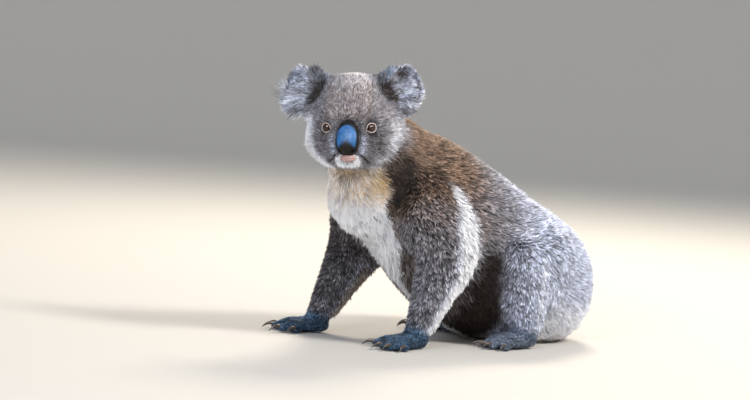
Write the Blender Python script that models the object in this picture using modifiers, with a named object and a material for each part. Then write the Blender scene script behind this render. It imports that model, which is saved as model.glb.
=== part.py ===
"""Life-size still model of a koala that sits on its haunches with straight arms and its head turned left.

Metres, +Z up. The koala faces -Y, its left side is +X, and the origin is on the floor under the middle of its box.
The solids follow the outside of the coat. Each limb, the head, the neck, the trunk and each ear is its own piece,
and the eyes, the nose pad and the claws are set into them with a thin gap.
"""

import math

import bmesh
import bpy
from mathutils import Matrix, Vector
from mathutils.bvhtree import BVHTree

# ---- Driving dimensions of the animal, over the fur ----
HEAD_WIDTH = 0.144  # cheek to cheek
HEAD_HEIGHT = 0.1458  # chin to crown
HEAD_DEPTH = 0.1512  # nose tip to the back of the head
EYE_SPACING = 0.0738  # between the middles of the eyes
EYE_RADIUS = 0.0077
EYE_SPLAY = 0.45  # how far each eye looks sideways for each unit ahead
NOSE_WIDTH = 0.036
NOSE_HEIGHT = 0.0486
EAR_WIDTH = 0.0864
EAR_HEIGHT = 0.1008
EAR_THICKNESS = 0.0378
TRUNK_WIDTH = 0.2412  # at the haunches
TRUNK_DEPTH = 0.2358  # across the belly, square to the spine
HAND_LENGTH = 0.099  # wrist to claw tip
FOOT_LENGTH = 0.1044  # heel to claw tip
CLAW_LENGTH = 0.018

# ---- The pose ----
HEAD_CENTRE = Vector((0.0126, -0.1508, 0.3366))
HEAD_YAW = math.radians(48)  # to the animal's left of its trunk
HEAD_ROLL = math.radians(-4)
HEAD_PITCH = math.radians(2)  # nose down

# ---- Making ----
GAP = 0.0004  # between pieces that touch
FLOOR_TRIM = 0.0015  # how much of each sole is planed off to leave a flat
BODY_VOXEL = 0.0042
LIMB_VOXEL = 0.0042
PAW_VOXEL = 0.0019
LEFT, RIGHT = 1, -1
SIDE_NAMES = {LEFT: "left", RIGHT: "right"}

FUR_GREY = (0.32, 0.29, 0.28)
FUR_PALE = (0.62, 0.60, 0.58)
FUR_PAW = (0.16, 0.17, 0.20)
EYE_BROWN = (0.05, 0.02, 0.01)
NOSE_BLACK = (0.03, 0.04, 0.06)
CLAW_HORN = (0.06, 0.05, 0.045)


# ---------------------------------------------------------------- small helpers
def clear_scene():
    for obj in list(bpy.data.objects):
        bpy.data.objects.remove(obj)


def material(name, colour, roughness):
    mat = bpy.data.materials.new(name)
    mat.use_nodes = True
    surface = mat.node_tree.nodes["Principled BSDF"]
    surface.inputs["Base Color"].default_value = (*colour, 1)
    surface.inputs["Roughness"].default_value = roughness
    surface.inputs["Metallic"].default_value = 0
    return mat


def link(name, mesh, collection):
    obj = bpy.data.objects.new(name, mesh)
    collection.objects.link(obj)
    return obj


def baked(obj, name, collection):
    """A new object that holds obj as its modifiers leave it; obj is removed."""
    graph = bpy.context.evaluated_depsgraph_get()
    mesh = bpy.data.meshes.new_from_object(obj.evaluated_get(graph), depsgraph=graph)
    mesh.transform(obj.matrix_world)
    bpy.data.objects.remove(obj)
    return link(name, mesh, collection)


def ellipsoid(name, centre, radii, turn=None, segments=32):
    """A closed ellipsoid, turned about its own middle, in the shop collection."""
    mesh = bpy.data.meshes.new(name)
    shell = bmesh.new()
    bmesh.ops.create_uvsphere(shell, u_segments=segments, v_segments=segments // 2, radius=1)
    bmesh.ops.triangulate(shell, faces=shell.faces)
    shell.to_mesh(mesh)
    shell.free()
    mesh.transform(Matrix.Diagonal((*radii, 1)))
    if turn:
        mesh.transform(turn.to_4x4())
    mesh.transform(Matrix.Translation(centre))
    return link(name, mesh, SHOP)


def smooth_path(stations, steps):
    """Catmull-Rom curve through stations of plain numbers, with steps points for each span."""
    rows = [Vector(row) for row in stations]
    rows = [2 * rows[0] - rows[1], *rows, 2 * rows[-1] - rows[-2]]
    path = []
    for before, start, end, after in zip(rows, rows[1:], rows[2:], rows[3:]):
        for step in range(steps):
            t = step / steps
            path.append(
                0.5
                * (
                    2 * start
                    + (end - before) * t
                    + (2 * before - 5 * start + 4 * end - after) * t * t
                    + (3 * start - before - 3 * end + after) * t**3
                )
            )
    return [*path, rows[-2]]


def loft(name, stations, across=(1, 0, 0), steps=4, sides=24, blunt=0.8):
    """A closed tube along a smooth path of stations (x, y, z, half width, half depth). Width runs along across,
    and each end is closed by a half ellipsoid, blunt times as long as the tube is deep there, or flat at 0."""
    path = smooth_path([(*row[:3],) for row in stations], steps)
    sizes = smooth_path([(row[3], row[4], 0) for row in stations], steps)
    rings = []
    for i, (point, size) in enumerate(zip(path, sizes)):
        along = (path[min(i + 1, len(path) - 1)] - path[max(i - 1, 0)]).normalized()
        rings.append((point, along, size.x, size.y))
    cap_angles = [math.radians(a) for a in (80, 55, 28)] if blunt else []
    point, along, wide, deep = rings[0]
    head = [
        (point - along * blunt * deep * math.sin(a), along, wide * math.cos(a), deep * math.cos(a)) for a in cap_angles
    ]
    point, along, wide, deep = rings[-1]
    tail = [
        (point + along * blunt * deep * math.sin(a), along, wide * math.cos(a), deep * math.cos(a))
        for a in reversed(cap_angles)
    ]
    shell = bmesh.new()
    hoops = []
    for point, along, wide, deep in [*head, *rings, *tail]:
        side = (Vector(across) - along * along.dot(Vector(across))).normalized()
        up = along.cross(side)
        hoops.append(
            [
                shell.verts.new(point + side * wide * math.cos(a) + up * deep * math.sin(a))
                for a in (2 * math.pi * k / sides for k in range(sides))
            ]
        )
    for low, high in zip(hoops, hoops[1:]):
        for k in range(sides):
            shell.faces.new((low[k], low[(k + 1) % sides], high[(k + 1) % sides], high[k]))
    shell.faces.new(list(reversed(hoops[0])))
    shell.faces.new(hoops[-1])
    bmesh.ops.recalc_face_normals(shell, faces=shell.faces)
    bmesh.ops.triangulate(shell, faces=shell.faces)
    mesh = bpy.data.meshes.new(name)
    shell.to_mesh(mesh)
    shell.free()
    return link(name, mesh, SHOP)


def joined(name, pieces):
    """One object that holds every piece's mesh, still overlapping."""
    shell = bmesh.new()
    for piece in pieces:
        mesh = piece.data.copy()
        mesh.transform(piece.matrix_world)
        shell.from_mesh(mesh)
        bpy.data.objects.remove(piece)
    mesh = bpy.data.meshes.new(name)
    shell.to_mesh(mesh)
    shell.free()
    return link(name, mesh, SHOP)


def fused(name, pieces, voxel, softness, triangles, firm=()):
    """The pieces run together into one smooth skin. Softness is how many smoothing passes the skin gets,
    firm lists (centre, radius, share) balls that get only that share of them, and triangles is its final count."""
    obj = joined(name, pieces)
    remesh = obj.modifiers.new("Remesh", "REMESH")
    remesh.mode = "VOXEL"
    remesh.voxel_size = voxel
    obj = baked(obj, name, SHOP)
    group = obj.vertex_groups.new(name="soft")
    for vertex in obj.data.vertices:
        weight = 1.0
        for centre, radius, share in firm:
            near = min(max((vertex.co - Vector(centre)).length / radius - 0.8, 0) / 0.4, 1)
            weight = min(weight, share + (1 - share) * near)
        group.add([vertex.index], weight, "REPLACE")
    smooth = obj.modifiers.new("Smooth", "SMOOTH")
    smooth.factor = 0.5
    smooth.iterations = softness
    smooth.vertex_group = "soft"
    obj = baked(obj, name, SHOP)
    decimate = obj.modifiers.new("Decimate", "DECIMATE")
    decimate.ratio = triangles / (2 * len(obj.data.polygons))
    decimate.use_collapse_triangulate = True
    return baked(obj, name, SHOP)


def boolean(obj, operation, others):
    """obj after a Boolean with each of the others, which are removed."""
    for other in others:
        cut = obj.modifiers.new("Cut", "BOOLEAN")
        cut.operation = operation
        cut.object = other
        cut.solver = "EXACT"
    name, home = obj.name, obj.users_collection[0]
    obj = baked(obj, name, home)
    for other in others:
        bpy.data.objects.remove(other)
    obj.name = name
    return obj


def grown(obj, by=GAP):
    """A copy of obj that clears it by a gap on every face, to cut its seat in a neighbour."""
    mesh = obj.data.copy()
    shell = bmesh.new()
    shell.from_mesh(mesh)
    shell.normal_update()
    moves = []
    for vert in shell.verts:
        slant = min(vert.normal.dot(face.normal) for face in vert.link_faces)
        moves.append(vert.normal * by / max(slant, 0.25))
    for vert, move in zip(shell.verts, moves):
        vert.co += move
    shell.to_mesh(mesh)
    shell.free()
    return link(obj.name + "_seat", mesh, SHOP)


def saw(centre, normal, radius):
    """A round blade as thick as the gap, square to normal."""
    mesh = bpy.data.meshes.new("saw")
    shell = bmesh.new()
    bmesh.ops.create_cone(
        shell, cap_ends=True, segments=48, radius1=radius, radius2=radius, depth=GAP
    )
    shell.to_mesh(mesh)
    shell.free()
    mesh.transform(Vector(normal).to_track_quat("Z", "Y").to_matrix().to_4x4())
    mesh.transform(Matrix.Translation(centre))
    return link("saw", mesh, SHOP)


def floor_block():
    """A block under the floor that planes the soles flat."""
    bpy.ops.mesh.primitive_cube_add(size=2, location=(0, 0, -1))
    block = bpy.context.object
    block.name = "floor_block"
    for home in list(block.users_collection):
        home.objects.unlink(block)
    SHOP.objects.link(block)
    bpy.context.view_layer.update()
    return block


def parted(obj, labels):
    """The loose parts of obj, each named by the label point that lies nearest its middle."""
    shell = bmesh.new()
    shell.from_mesh(obj.data)
    groups, seen = [], set()
    for start in shell.verts:
        if start in seen:
            continue
        group, todo = [], [start]
        seen.add(start)
        while todo:
            vert = todo.pop()
            group.append(vert)
            for edge in vert.link_edges:
                other = edge.other_vert(vert)
                if other not in seen:
                    seen.add(other)
                    todo.append(other)
        groups.append(group)
    groups.sort(key=len, reverse=True)
    made = {}
    for group in groups[: len(labels)]:
        middle = sum((vert.co for vert in group), Vector()) / len(group)
        name = min(
            (label for label in labels if label not in made),
            key=lambda label: (Vector(labels[label]) - middle).length,
        )
        index = {vert: i for i, vert in enumerate(group)}
        faces = {face for vert in group for face in vert.link_faces}
        mesh = bpy.data.meshes.new(name)
        mesh.from_pydata(
            [vert.co.copy() for vert in group], [], [[index[v] for v in face.verts] for face in faces]
        )
        mesh.update()
        made[name] = link(name, mesh, KOALA)
    shell.free()
    bpy.data.objects.remove(obj)
    return made


def finish(obj, mat, sharp_degrees=70):
    """Gives a piece its material and smooth shading, and hangs it on the koala's own frame."""
    obj.data.materials.clear()
    obj.data.materials.append(mat)
    obj.data.shade_smooth()
    obj.data.set_sharp_from_angle(angle=math.radians(sharp_degrees))
    return obj


# ---------------------------------------------------------------- head
def head_frame():
    """The head's own axes: it faces -Y there, with its middle at the origin."""
    turn = (
        Matrix.Rotation(HEAD_YAW, 4, "Z")
        @ Matrix.Rotation(HEAD_ROLL, 4, "Y")
        @ Matrix.Rotation(HEAD_PITCH, 4, "X")
    )
    return Matrix.Translation(HEAD_CENTRE) @ turn


def head_masses():
    """Skull, crown, brow, cheeks, muzzle and chin, in the head's own axes."""
    w, h, d = HEAD_WIDTH / 2, HEAD_HEIGHT / 2, HEAD_DEPTH / 2
    masses = [
        ("skull", (0, 0.10 * d, 0.13 * h), (0.93 * w, 0.86 * d, 0.86 * h)),
        ("crown", (0, 0.06 * d, 0.46 * h), (0.76 * w, 0.62 * d, 0.73 * h)),
        ("face", (0, -0.26 * d, -0.12 * h), (0.72 * w, 0.52 * d, 0.72 * h)),
        ("bridge", (0, -0.56 * d, -0.04 * h), (0.24 * w, 0.32 * d, 0.34 * h)),
        ("muzzle", (0, -0.64 * d, -0.36 * h), (0.38 * w, 0.34 * d, 0.40 * h)),
        ("chin", (0, -0.52 * d, -0.70 * h), (0.30 * w, 0.32 * d, 0.26 * h)),
        ("throat", (0, -0.10 * d, -0.56 * h), (0.60 * w, 0.50 * d, 0.36 * h)),
    ]
    for side in (LEFT, RIGHT):
        masses += [
            ("cheek", (side * 0.56 * w, -0.12 * d, -0.18 * h), (0.44 * w, 0.58 * d, 0.56 * h)),
            ("jowl", (side * 0.38 * w, -0.30 * d, -0.50 * h), (0.38 * w, 0.46 * d, 0.36 * h)),
            ("brow", (side * 0.34 * w, -0.42 * d, 0.28 * h), (0.34 * w, 0.30 * d, 0.26 * h)),
        ]
    frame = head_frame()
    made = []
    for name, centre, radii in masses:
        made.append(ellipsoid(name, centre, radii))
        made[-1].data.transform(frame)
    return made


def ear_frame(side):
    """An ear's own axes in the world: X across it, -Y out of its hollow, Z up to its rim."""
    w, h, d = HEAD_WIDTH / 2, HEAD_HEIGHT / 2, HEAD_DEPTH / 2
    middle = Vector((side * 0.98 * w, 0.16 * d, 0.72 * h))
    turn = (
        Matrix.Rotation(math.radians(side * 14), 4, "Z")
        @ Matrix.Rotation(math.radians(side * 34), 4, "Y")
        @ Matrix.Rotation(math.radians(-8), 4, "X")
    )
    return head_frame() @ Matrix.Translation(middle) @ turn


def ear_mass(side):
    """A thick round ear, hollowed in front."""
    radii = (EAR_WIDTH / 2, EAR_THICKNESS / 2, EAR_HEIGHT / 2)
    ear = ellipsoid("ear", (0, 0, 0), radii)
    bowl = ellipsoid(
        "bowl",
        (-side * 0.10 * radii[0], -1.25 * radii[1], -0.05 * radii[2]),
        (0.55 * radii[0], 0.85 * radii[1], 0.58 * radii[2]),
    )
    ear = boolean(ear, "DIFFERENCE", [bowl])
    ear.data.transform(ear_frame(side))
    return ear


def eye(side, whole):
    """A round eyeball whose front is level with the coat, and the shallow dent in the coat that lays it open."""
    look = Vector((side * EYE_SPLAY, -1, 0.04)).normalized()
    frame = head_frame()
    aim = Vector((side * EYE_SPACING / 2, -HEAD_DEPTH / 2, 0.03 * HEAD_HEIGHT / 2))
    tree = BVHTree.FromPolygons(
        [vert.co for vert in whole.data.vertices], [face.vertices for face in whole.data.polygons]
    )
    front = tree.ray_cast(frame @ (aim - 0.05 * Vector((0, 1, 0))), frame.to_3x3() @ Vector((0, 1, 0)))[0]
    front = frame.inverted() @ front
    turn = Matrix.Rotation(math.atan(side * EYE_SPLAY), 3, "Z")
    ball = ellipsoid("eye_" + SIDE_NAMES[side], front - look * EYE_RADIUS, (EYE_RADIUS,) * 3, segments=12)
    dent = ellipsoid("dent", front, (1.25 * EYE_RADIUS, 0.0040, 1.10 * EYE_RADIUS), turn, segments=12)
    for obj in (ball, dent):
        obj.data.transform(frame)
    return ball, dent


def nose():
    """The bare pad: a tall rounded shield that stands out towards its lower end, with two nostril notches."""
    w, tall = NOSE_WIDTH / 2, NOSE_HEIGHT
    d, h = HEAD_DEPTH / 2, HEAD_HEIGHT / 2
    top = Vector((0, -0.75 * d, 0.17 * h))
    stations = [
        (*(top + Vector((0, 0.004, -0.04 * tall))), 0.40 * w, 0.0055),
        (*(top + Vector((0, -0.002, -0.20 * tall))), 0.74 * w, 0.009),
        (*(top + Vector((0, -0.009, -0.48 * tall))), 0.96 * w, 0.012),
        (*(top + Vector((0, -0.012, -0.72 * tall))), 1.00 * w, 0.0125),
        (*(top + Vector((0, -0.006, -0.92 * tall))), 0.70 * w, 0.009),
    ]
    pad = loft("nose", stations, steps=1, sides=12)
    nostrils = [
        ellipsoid(
            "nostril",
            top + Vector((side * 0.52 * w, -0.0235, -0.83 * tall)),
            (0.20 * w, 0.006, 0.07 * tall),
            Matrix.Rotation(math.radians(side * 28), 3, "Y"),
            segments=8,
        )
        for side in (LEFT, RIGHT)
    ]
    pad = boolean(pad, "DIFFERENCE", nostrils)
    pad.data.transform(head_frame())
    return pad


# ---------------------------------------------------------------- trunk and neck
def trunk_masses():
    """The pear-shaped trunk from the haunches to the shoulders, then the neck up into the head."""
    w, d = TRUNK_WIDTH / 2, TRUNK_DEPTH / 2
    stations = [
        (0, 0.3299, 0.0774, 0.32 * w, 0.38 * d),
        (0, 0.3108, 0.0792, 0.64 * w, 0.67 * d),
        (0, 0.2695, 0.0864, 0.90 * w, 0.90 * d),
        (0, 0.2133, 0.1008, 1.02 * w, 1.02 * d),
        (0, 0.1505, 0.1224, 1.02 * w, 1.08 * d),
        (0, 0.0868, 0.1566, 0.95 * w, 1.10 * d),
        (0, 0.0207, 0.2052, 0.85 * w, 1.02 * d),
        (0, -0.0372, 0.2448, 0.77 * w, 0.88 * d),
        (0, -0.0728, 0.2682, 0.66 * w, 0.74 * d),
    ]
    neck = [
        (0, -0.0331, 0.2475, 0.74 * w, 0.80 * d),
        (-0.0018, -0.0829, 0.2862, 0.64 * w, 0.68 * d),
        (-0.009, -0.1183, 0.3132, 0.56 * w, 0.58 * d),
        (-0.0054, -0.1411, 0.3312, 0.50 * w, 0.50 * d),
    ]
    ruff = ellipsoid("ruff", (-0.0036, -0.0946, 0.2376), (0.56 * w, 0.070, 0.079))
    return [loft("trunk", stations, sides=32, blunt=0.3), loft("neck", neck, sides=32), ruff]


def body():
    """Trunk, neck, head and ears run together, then sawn apart."""
    masses = trunk_masses() + head_masses() + [ear_mass(side) for side in (LEFT, RIGHT)]
    whole = fused("body", masses, BODY_VOXEL, 14, 1600, firm=[(HEAD_CENTRE, 0.108, 0.25)])
    return boolean(whole, "DIFFERENCE", [floor_block()])


def ear_saw(side):
    """The blade that parts an ear from the head."""
    out = Vector((side * 0.078, 0.012, 0.060)).normalized()
    frame = head_frame()
    return saw(frame @ (out * 0.070), frame.to_3x3() @ out, 0.052)


def sawn(limb, blades, labels):
    """A limb's pieces, without the stub that the paw takes the place of, and the seat the limb needs."""
    seat = grown(limb)
    parts = parted(boolean(limb, "DIFFERENCE", blades), labels)
    bpy.data.objects.remove(parts.pop("stub"))
    return parts, seat


# ---------------------------------------------------------------- arms
ARMS = {
    LEFT: {
        "shoulder": (0.072, -0.0391, 0.2358),
        "elbow": (0.1008, -0.018, 0.144),
        "wrist": (0.0954, -0.0549, 0.0324),
        "heading": -2,
    },
    RIGHT: {
        "shoulder": (-0.063, -0.0477, 0.2322),
        "elbow": (-0.0882, -0.0502, 0.1476),
        "wrist": (-0.0936, -0.1119, 0.0324),
        "heading": 34,
    },
}


def arm(side):
    """Shoulder, upper arm and forearm, down to the wrist."""
    pose = {name: Vector(place) for name, place in ARMS[side].items() if name != "heading"}
    shoulder, elbow, wrist = pose["shoulder"], pose["elbow"], pose["wrist"]
    high = shoulder.lerp(elbow, 0.35)
    low = elbow.lerp(wrist, 0.45)
    stations = [
        (*(shoulder + Vector((-side * 0.005, 0, 0.018))), 0.038, 0.055),
        (*high, 0.043, 0.071),
        (*elbow, 0.038, 0.059),
        (*low, 0.0315, 0.042),
        (*wrist.lerp(low, 0.15), 0.024, 0.030),
        (*(wrist + Vector((0, -0.004, -0.011))), 0.021, 0.022),
    ]
    name = "arm_" + SIDE_NAMES[side]
    limb = fused(name, [loft(name, stations)], LIMB_VOXEL, 8, 320)
    blades = [
        saw(elbow, elbow - high, 0.09),
        saw(wrist, Vector((0, -0.35, -1)), 0.05),
    ]
    labels = {
        "upper_arm_" + SIDE_NAMES[side]: high,
        "forearm_" + SIDE_NAMES[side]: low,
        "stub": wrist + Vector((0, 0, -0.02)),
    }
    return sawn(limb, blades, labels)


# ---------------------------------------------------------------- legs
LEGS = {
    LEFT: {
        "hip": (0.0828, 0.1968, 0.117),
        "knee": (0.1134, 0.1205, 0.144),
        "ankle": (0.1152, 0.1439, 0.0324),
        "heading": -4,
    },
    RIGHT: {
        "hip": (-0.0828, 0.2033, 0.117),
        "knee": (-0.1116, 0.1343, 0.144),
        "ankle": (-0.108, 0.1628, 0.0324),
        "heading": 4,
    },
}


def leg(side):
    """Thigh and shank, folded at the knee, down to the ankle."""
    pose = {name: Vector(place) for name, place in LEGS[side].items() if name != "heading"}
    hip, knee, ankle = pose["hip"], pose["knee"], pose["ankle"]
    mid = knee.lerp(ankle, 0.5)
    thigh = [
        (*hip, 0.050, 0.079),
        (*hip.lerp(knee, 0.50), 0.050, 0.073),
        (*knee, 0.040, 0.044),
    ]
    shank = [
        (*(knee + Vector((0, 0.005, 0.009))), 0.037, 0.044),
        (*mid, 0.035, 0.044),
        (*ankle.lerp(mid, 0.2), 0.029, 0.034),
        (*(ankle + Vector((0, 0, -0.011))), 0.025, 0.025),
    ]
    name = "leg_" + SIDE_NAMES[side]
    limb = fused(name, [loft("thigh", thigh), loft("shank", shank)], LIMB_VOXEL, 8, 320)
    fold = (knee - hip).normalized() + (ankle - knee).normalized()
    blades = [
        saw(knee + Vector((0, 0.018, -0.018)), fold, 0.120),
        saw(ankle, Vector((0, -0.15, -1)), 0.05),
    ]
    labels = {
        "thigh_" + SIDE_NAMES[side]: hip.lerp(knee, 0.6),
        "shank_" + SIDE_NAMES[side]: mid,
        "stub": ankle + Vector((0, 0, -0.02)),
    }
    return sawn(limb, blades, labels)


# ---------------------------------------------------------------- hands, feet and claws
def direction(heading, side):
    """Level direction that is heading degrees outwards from straight ahead, on that side of the body."""
    angle = math.radians(heading)
    return Vector((side * math.sin(angle), -math.cos(angle), 0))


def at_height(point, height):
    """The point straight above or below that one, at a height over the floor."""
    return Vector((point.x, point.y, height))


def digit(root, along, length, radius):
    """A finger or toe arched from its root down to the floor: its stations, and its tip."""
    stations = [
        (*root, radius, radius),
        (*(root + along * 0.35 * length + Vector((0, 0, 0.15 * radius))), 1.04 * radius, 1.04 * radius),
        (*at_height(root + along * 0.72 * length, radius - FLOOR_TRIM), radius, 0.98 * radius),
        (*at_height(root + along * length, 0.90 * radius - FLOOR_TRIM), 0.84 * radius, 0.84 * radius),
    ]
    tip = root + along * (length + 0.35 * radius)
    tip.z = 0.95 * radius
    return stations, tip


def claw(name, tip, along, length, thick):
    """A curved, pointed claw that leaves the top of a digit's tip and bends down to the floor."""
    up = Vector((0, 0, 1))
    across = along.cross(up)
    stations = [
        (*(tip - along * 0.30 * length + up * 0.10 * thick), 0.80 * thick, 1.15 * thick),
        (*(tip + along * 0.15 * length + up * 0.35 * thick), 0.72 * thick, 1.05 * thick),
        (*(tip + along * 0.55 * length - up * 0.10 * thick), 0.46 * thick, 0.70 * thick),
        (*(tip + along * 0.82 * length + up * (0.45 * thick - tip.z)), 0.16 * thick, 0.24 * thick),
    ]
    return loft(name, stations, across=across, steps=1, sides=5, blunt=0)


def paw(kind, side, wrist, heading, palm, digits, claw_thick):
    """A hand or foot with its claws. Palm is (length, half width, half height); digits lists
    (name, degrees outwards, start along the palm, sideways start, length, radius, clawed)."""
    name = f"{kind}_{SIDE_NAMES[side]}"
    ahead = direction(heading, side)
    out = direction(heading + 90, side)
    length, half_width, half_height = palm
    level = Vector((wrist.x, wrist.y, half_height - FLOOR_TRIM))
    stations = [
        (*(wrist + Vector((0, 0, 0.011))), 0.90 * half_width, 0.022),
        (*(wrist + ahead * 0.005 + Vector((0, 0, -0.007))), 0.94 * half_width, 0.019),
        (*(level + ahead * 0.45 * length), half_width, half_height),
        (*(level + ahead * 0.85 * length), 0.96 * half_width, 0.90 * half_height),
    ]
    masses = [
        loft("palm", stations, across=out),
        ellipsoid("heel", level + ahead * 0.05 * length, (0.70 * half_width, 0.9 * half_width, half_height)),
    ]
    claws = []
    for label, degrees, start, sideways, long, radius, clawed in digits:
        along = direction(heading + degrees, side)
        root = level + ahead * start * length + out * sideways * half_width
        stations, tip = digit(root, along, long, radius)
        masses.append(loft(label, stations, across=along.cross(Vector((0, 0, 1))), sides=14))
        if clawed:
            claws.append(claw(f"claw_{name}_{label}", tip, along, CLAW_LENGTH, claw_thick))
    solid = fused(name, masses, PAW_VOXEL, 4, 280)
    solid = boolean(solid, "DIFFERENCE", [floor_block(), *[grown(c) for c in claws]])
    normal = Vector((0, -0.35, -1)) if kind == "hand" else Vector((0, -0.15, -1))
    solid = boolean(solid, "DIFFERENCE", [saw(wrist, normal, 0.05)])
    solid.name = "whole"
    parts = parted(solid, {name: level + ahead * 0.5 * length, "stub": wrist + Vector((0, 0, 0.03))})
    bpy.data.objects.remove(parts.pop("stub"))
    for c in claws:
        SHOP.objects.unlink(c)
        KOALA.objects.link(c)
    return parts[name], claws


def hand(side):
    """Two inner digits that oppose the other three, all clawed."""
    reach = HAND_LENGTH
    digits = [
        ("1", -50, 0.55, -0.62, 0.30 * reach, 0.0079, True),
        ("2", -30, 0.85, -0.56, 0.35 * reach, 0.0083, True),
        ("3", 4, 0.90, 0.10, 0.38 * reach, 0.0086, True),
        ("4", 17, 0.85, 0.54, 0.37 * reach, 0.0086, True),
        ("5", 34, 0.64, 0.82, 0.31 * reach, 0.0081, True),
    ]
    wrist = Vector(ARMS[side]["wrist"])
    return paw("hand", side, wrist, ARMS[side]["heading"], (0.42 * reach, 0.0215, 0.0135), digits, 0.0031)


def foot(side):
    """A clawless inner toe set well apart, two thin joined toes and two strong outer ones."""
    reach = FOOT_LENGTH
    digits = [
        ("1", -62, 0.42, -0.62, 0.30 * reach, 0.0100, False),
        ("2", -16, 0.92, -0.52, 0.26 * reach, 0.0067, True),
        ("3", -8, 0.94, -0.16, 0.27 * reach, 0.0067, True),
        ("4", 8, 0.88, 0.34, 0.33 * reach, 0.0088, True),
        ("5", 28, 0.74, 0.74, 0.29 * reach, 0.0085, True),
    ]
    ankle = Vector(LEGS[side]["ankle"])
    return paw("foot", side, ankle, LEGS[side]["heading"], (0.48 * reach, 0.025, 0.0145), digits, 0.0029)


# ---------------------------------------------------------------- assembly
def build():
    fur = material("fur_grey", FUR_GREY, 0.9)
    pale = material("fur_pale", FUR_PALE, 0.9)
    paw_fur = material("fur_paw", FUR_PAW, 0.85)
    wet = material("eye_brown", EYE_BROWN, 0.08)
    pad = material("nose_black", NOSE_BLACK, 0.45)
    horn = material("claw_horn", CLAW_HORN, 0.4)

    whole = body()
    limbs, paws, claws, seats = {}, {}, [], []
    for side in (LEFT, RIGHT):
        for maker in (arm, leg):
            pieces, seat = maker(side)
            limbs.update(pieces)
            seats.append(seat)
        for maker in (hand, foot):
            solid, its_claws = maker(side)
            paws[solid.name] = solid
            claws += its_claws
            seats.append(grown(solid))

    eyes = [eye(side, whole) for side in (LEFT, RIGHT)]
    nose_pad = nose()
    seats.append(grown(nose_pad))
    for ball, dent in eyes:
        seats += [grown(ball), dent]
    whole = boolean(whole, "DIFFERENCE", seats)
    blades = [
        saw((0, -0.0893, 0.2754), (0.02, -0.74, 0.67), 0.135),
        saw((-0.0108, -0.1251, 0.3042), (0.150, -0.745, 0.650), 0.135),
        ear_saw(LEFT),
        ear_saw(RIGHT),
    ]
    whole = boolean(whole, "DIFFERENCE", blades)
    labels = {
        "trunk": (0, 0.09, 0.16),
        "neck": (0, -0.10, 0.29),
        "head": HEAD_CENTRE,
        "ear_left": ear_frame(LEFT).translation,
        "ear_right": ear_frame(RIGHT).translation,
    }
    body_parts = parted(whole, labels)

    for name, piece in {**body_parts, **limbs}.items():
        finish(piece, pale if name.startswith("ear") else fur)
    for piece in paws.values():
        finish(piece, paw_fur)
    for piece in claws:
        finish(piece, horn)
    for piece in [nose_pad, *[ball for ball, _ in eyes]]:
        SHOP.objects.unlink(piece)
        KOALA.objects.link(piece)
        finish(piece, pad if piece is nose_pad else wet)


def centre_on_floor():
    """Hangs every piece on one empty, which puts the middle of the koala's box over the origin."""
    bpy.context.view_layer.update()
    corners = [obj.matrix_world @ Vector(c) for obj in KOALA.objects for c in obj.bound_box]
    low = Vector((min(c.x for c in corners), min(c.y for c in corners), min(c.z for c in corners)))
    high = Vector((max(c.x for c in corners), max(c.y for c in corners), max(c.z for c in corners)))
    frame = bpy.data.objects.new("koala_frame", None)
    frame.location = (-(low.x + high.x) / 2, -(low.y + high.y) / 2, -low.z)
    bpy.context.scene.collection.objects.link(frame)
    for obj in list(KOALA.objects):
        obj.parent = frame


clear_scene()
KOALA = bpy.data.collections.new("koala")
SHOP = bpy.data.collections.new("cutters")
bpy.context.scene.collection.children.link(KOALA)
bpy.context.scene.collection.children.link(SHOP)
build()
centre_on_floor()
SHOP.hide_render = True
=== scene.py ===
"""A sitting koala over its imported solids: skin, coat, face, claws and a studio stage."""
import math

import bpy
import numpy as np
from bpy.props import FloatProperty, FloatVectorProperty, IntProperty, PointerProperty
from mathutils import Matrix, Vector


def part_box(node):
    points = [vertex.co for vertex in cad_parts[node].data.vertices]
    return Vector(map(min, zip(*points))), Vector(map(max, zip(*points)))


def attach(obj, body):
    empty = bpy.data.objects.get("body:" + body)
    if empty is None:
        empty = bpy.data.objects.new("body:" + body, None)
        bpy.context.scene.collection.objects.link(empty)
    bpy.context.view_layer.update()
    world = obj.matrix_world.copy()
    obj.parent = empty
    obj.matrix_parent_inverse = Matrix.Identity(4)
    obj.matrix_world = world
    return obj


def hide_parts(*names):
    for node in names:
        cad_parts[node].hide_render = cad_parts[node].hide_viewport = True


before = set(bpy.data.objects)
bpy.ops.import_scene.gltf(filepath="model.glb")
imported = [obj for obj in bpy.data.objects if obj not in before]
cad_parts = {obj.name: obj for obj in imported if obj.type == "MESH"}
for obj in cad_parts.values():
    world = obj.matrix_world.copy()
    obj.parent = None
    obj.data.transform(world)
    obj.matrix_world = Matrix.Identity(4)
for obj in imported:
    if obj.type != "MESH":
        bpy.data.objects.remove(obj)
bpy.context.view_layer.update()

bl_info = {
    "name": "Sitting koala",
    "version": (1, 0, 0),
    "blender": (4, 5, 0),
    "location": "3D View > Sidebar > Koala",
    "description": "Skin, coat, face, claws and studio stage for the packed koala",
    "category": "Object",
}

SIDES = {"left": 1, "right": -1}
FLESH = [name for name in sorted(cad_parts) if not name.startswith(("claw", "eye", "nose"))]
SKIN = {}  # the finished skin and its guides, as whole arrays, for the coat to grow on

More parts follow.
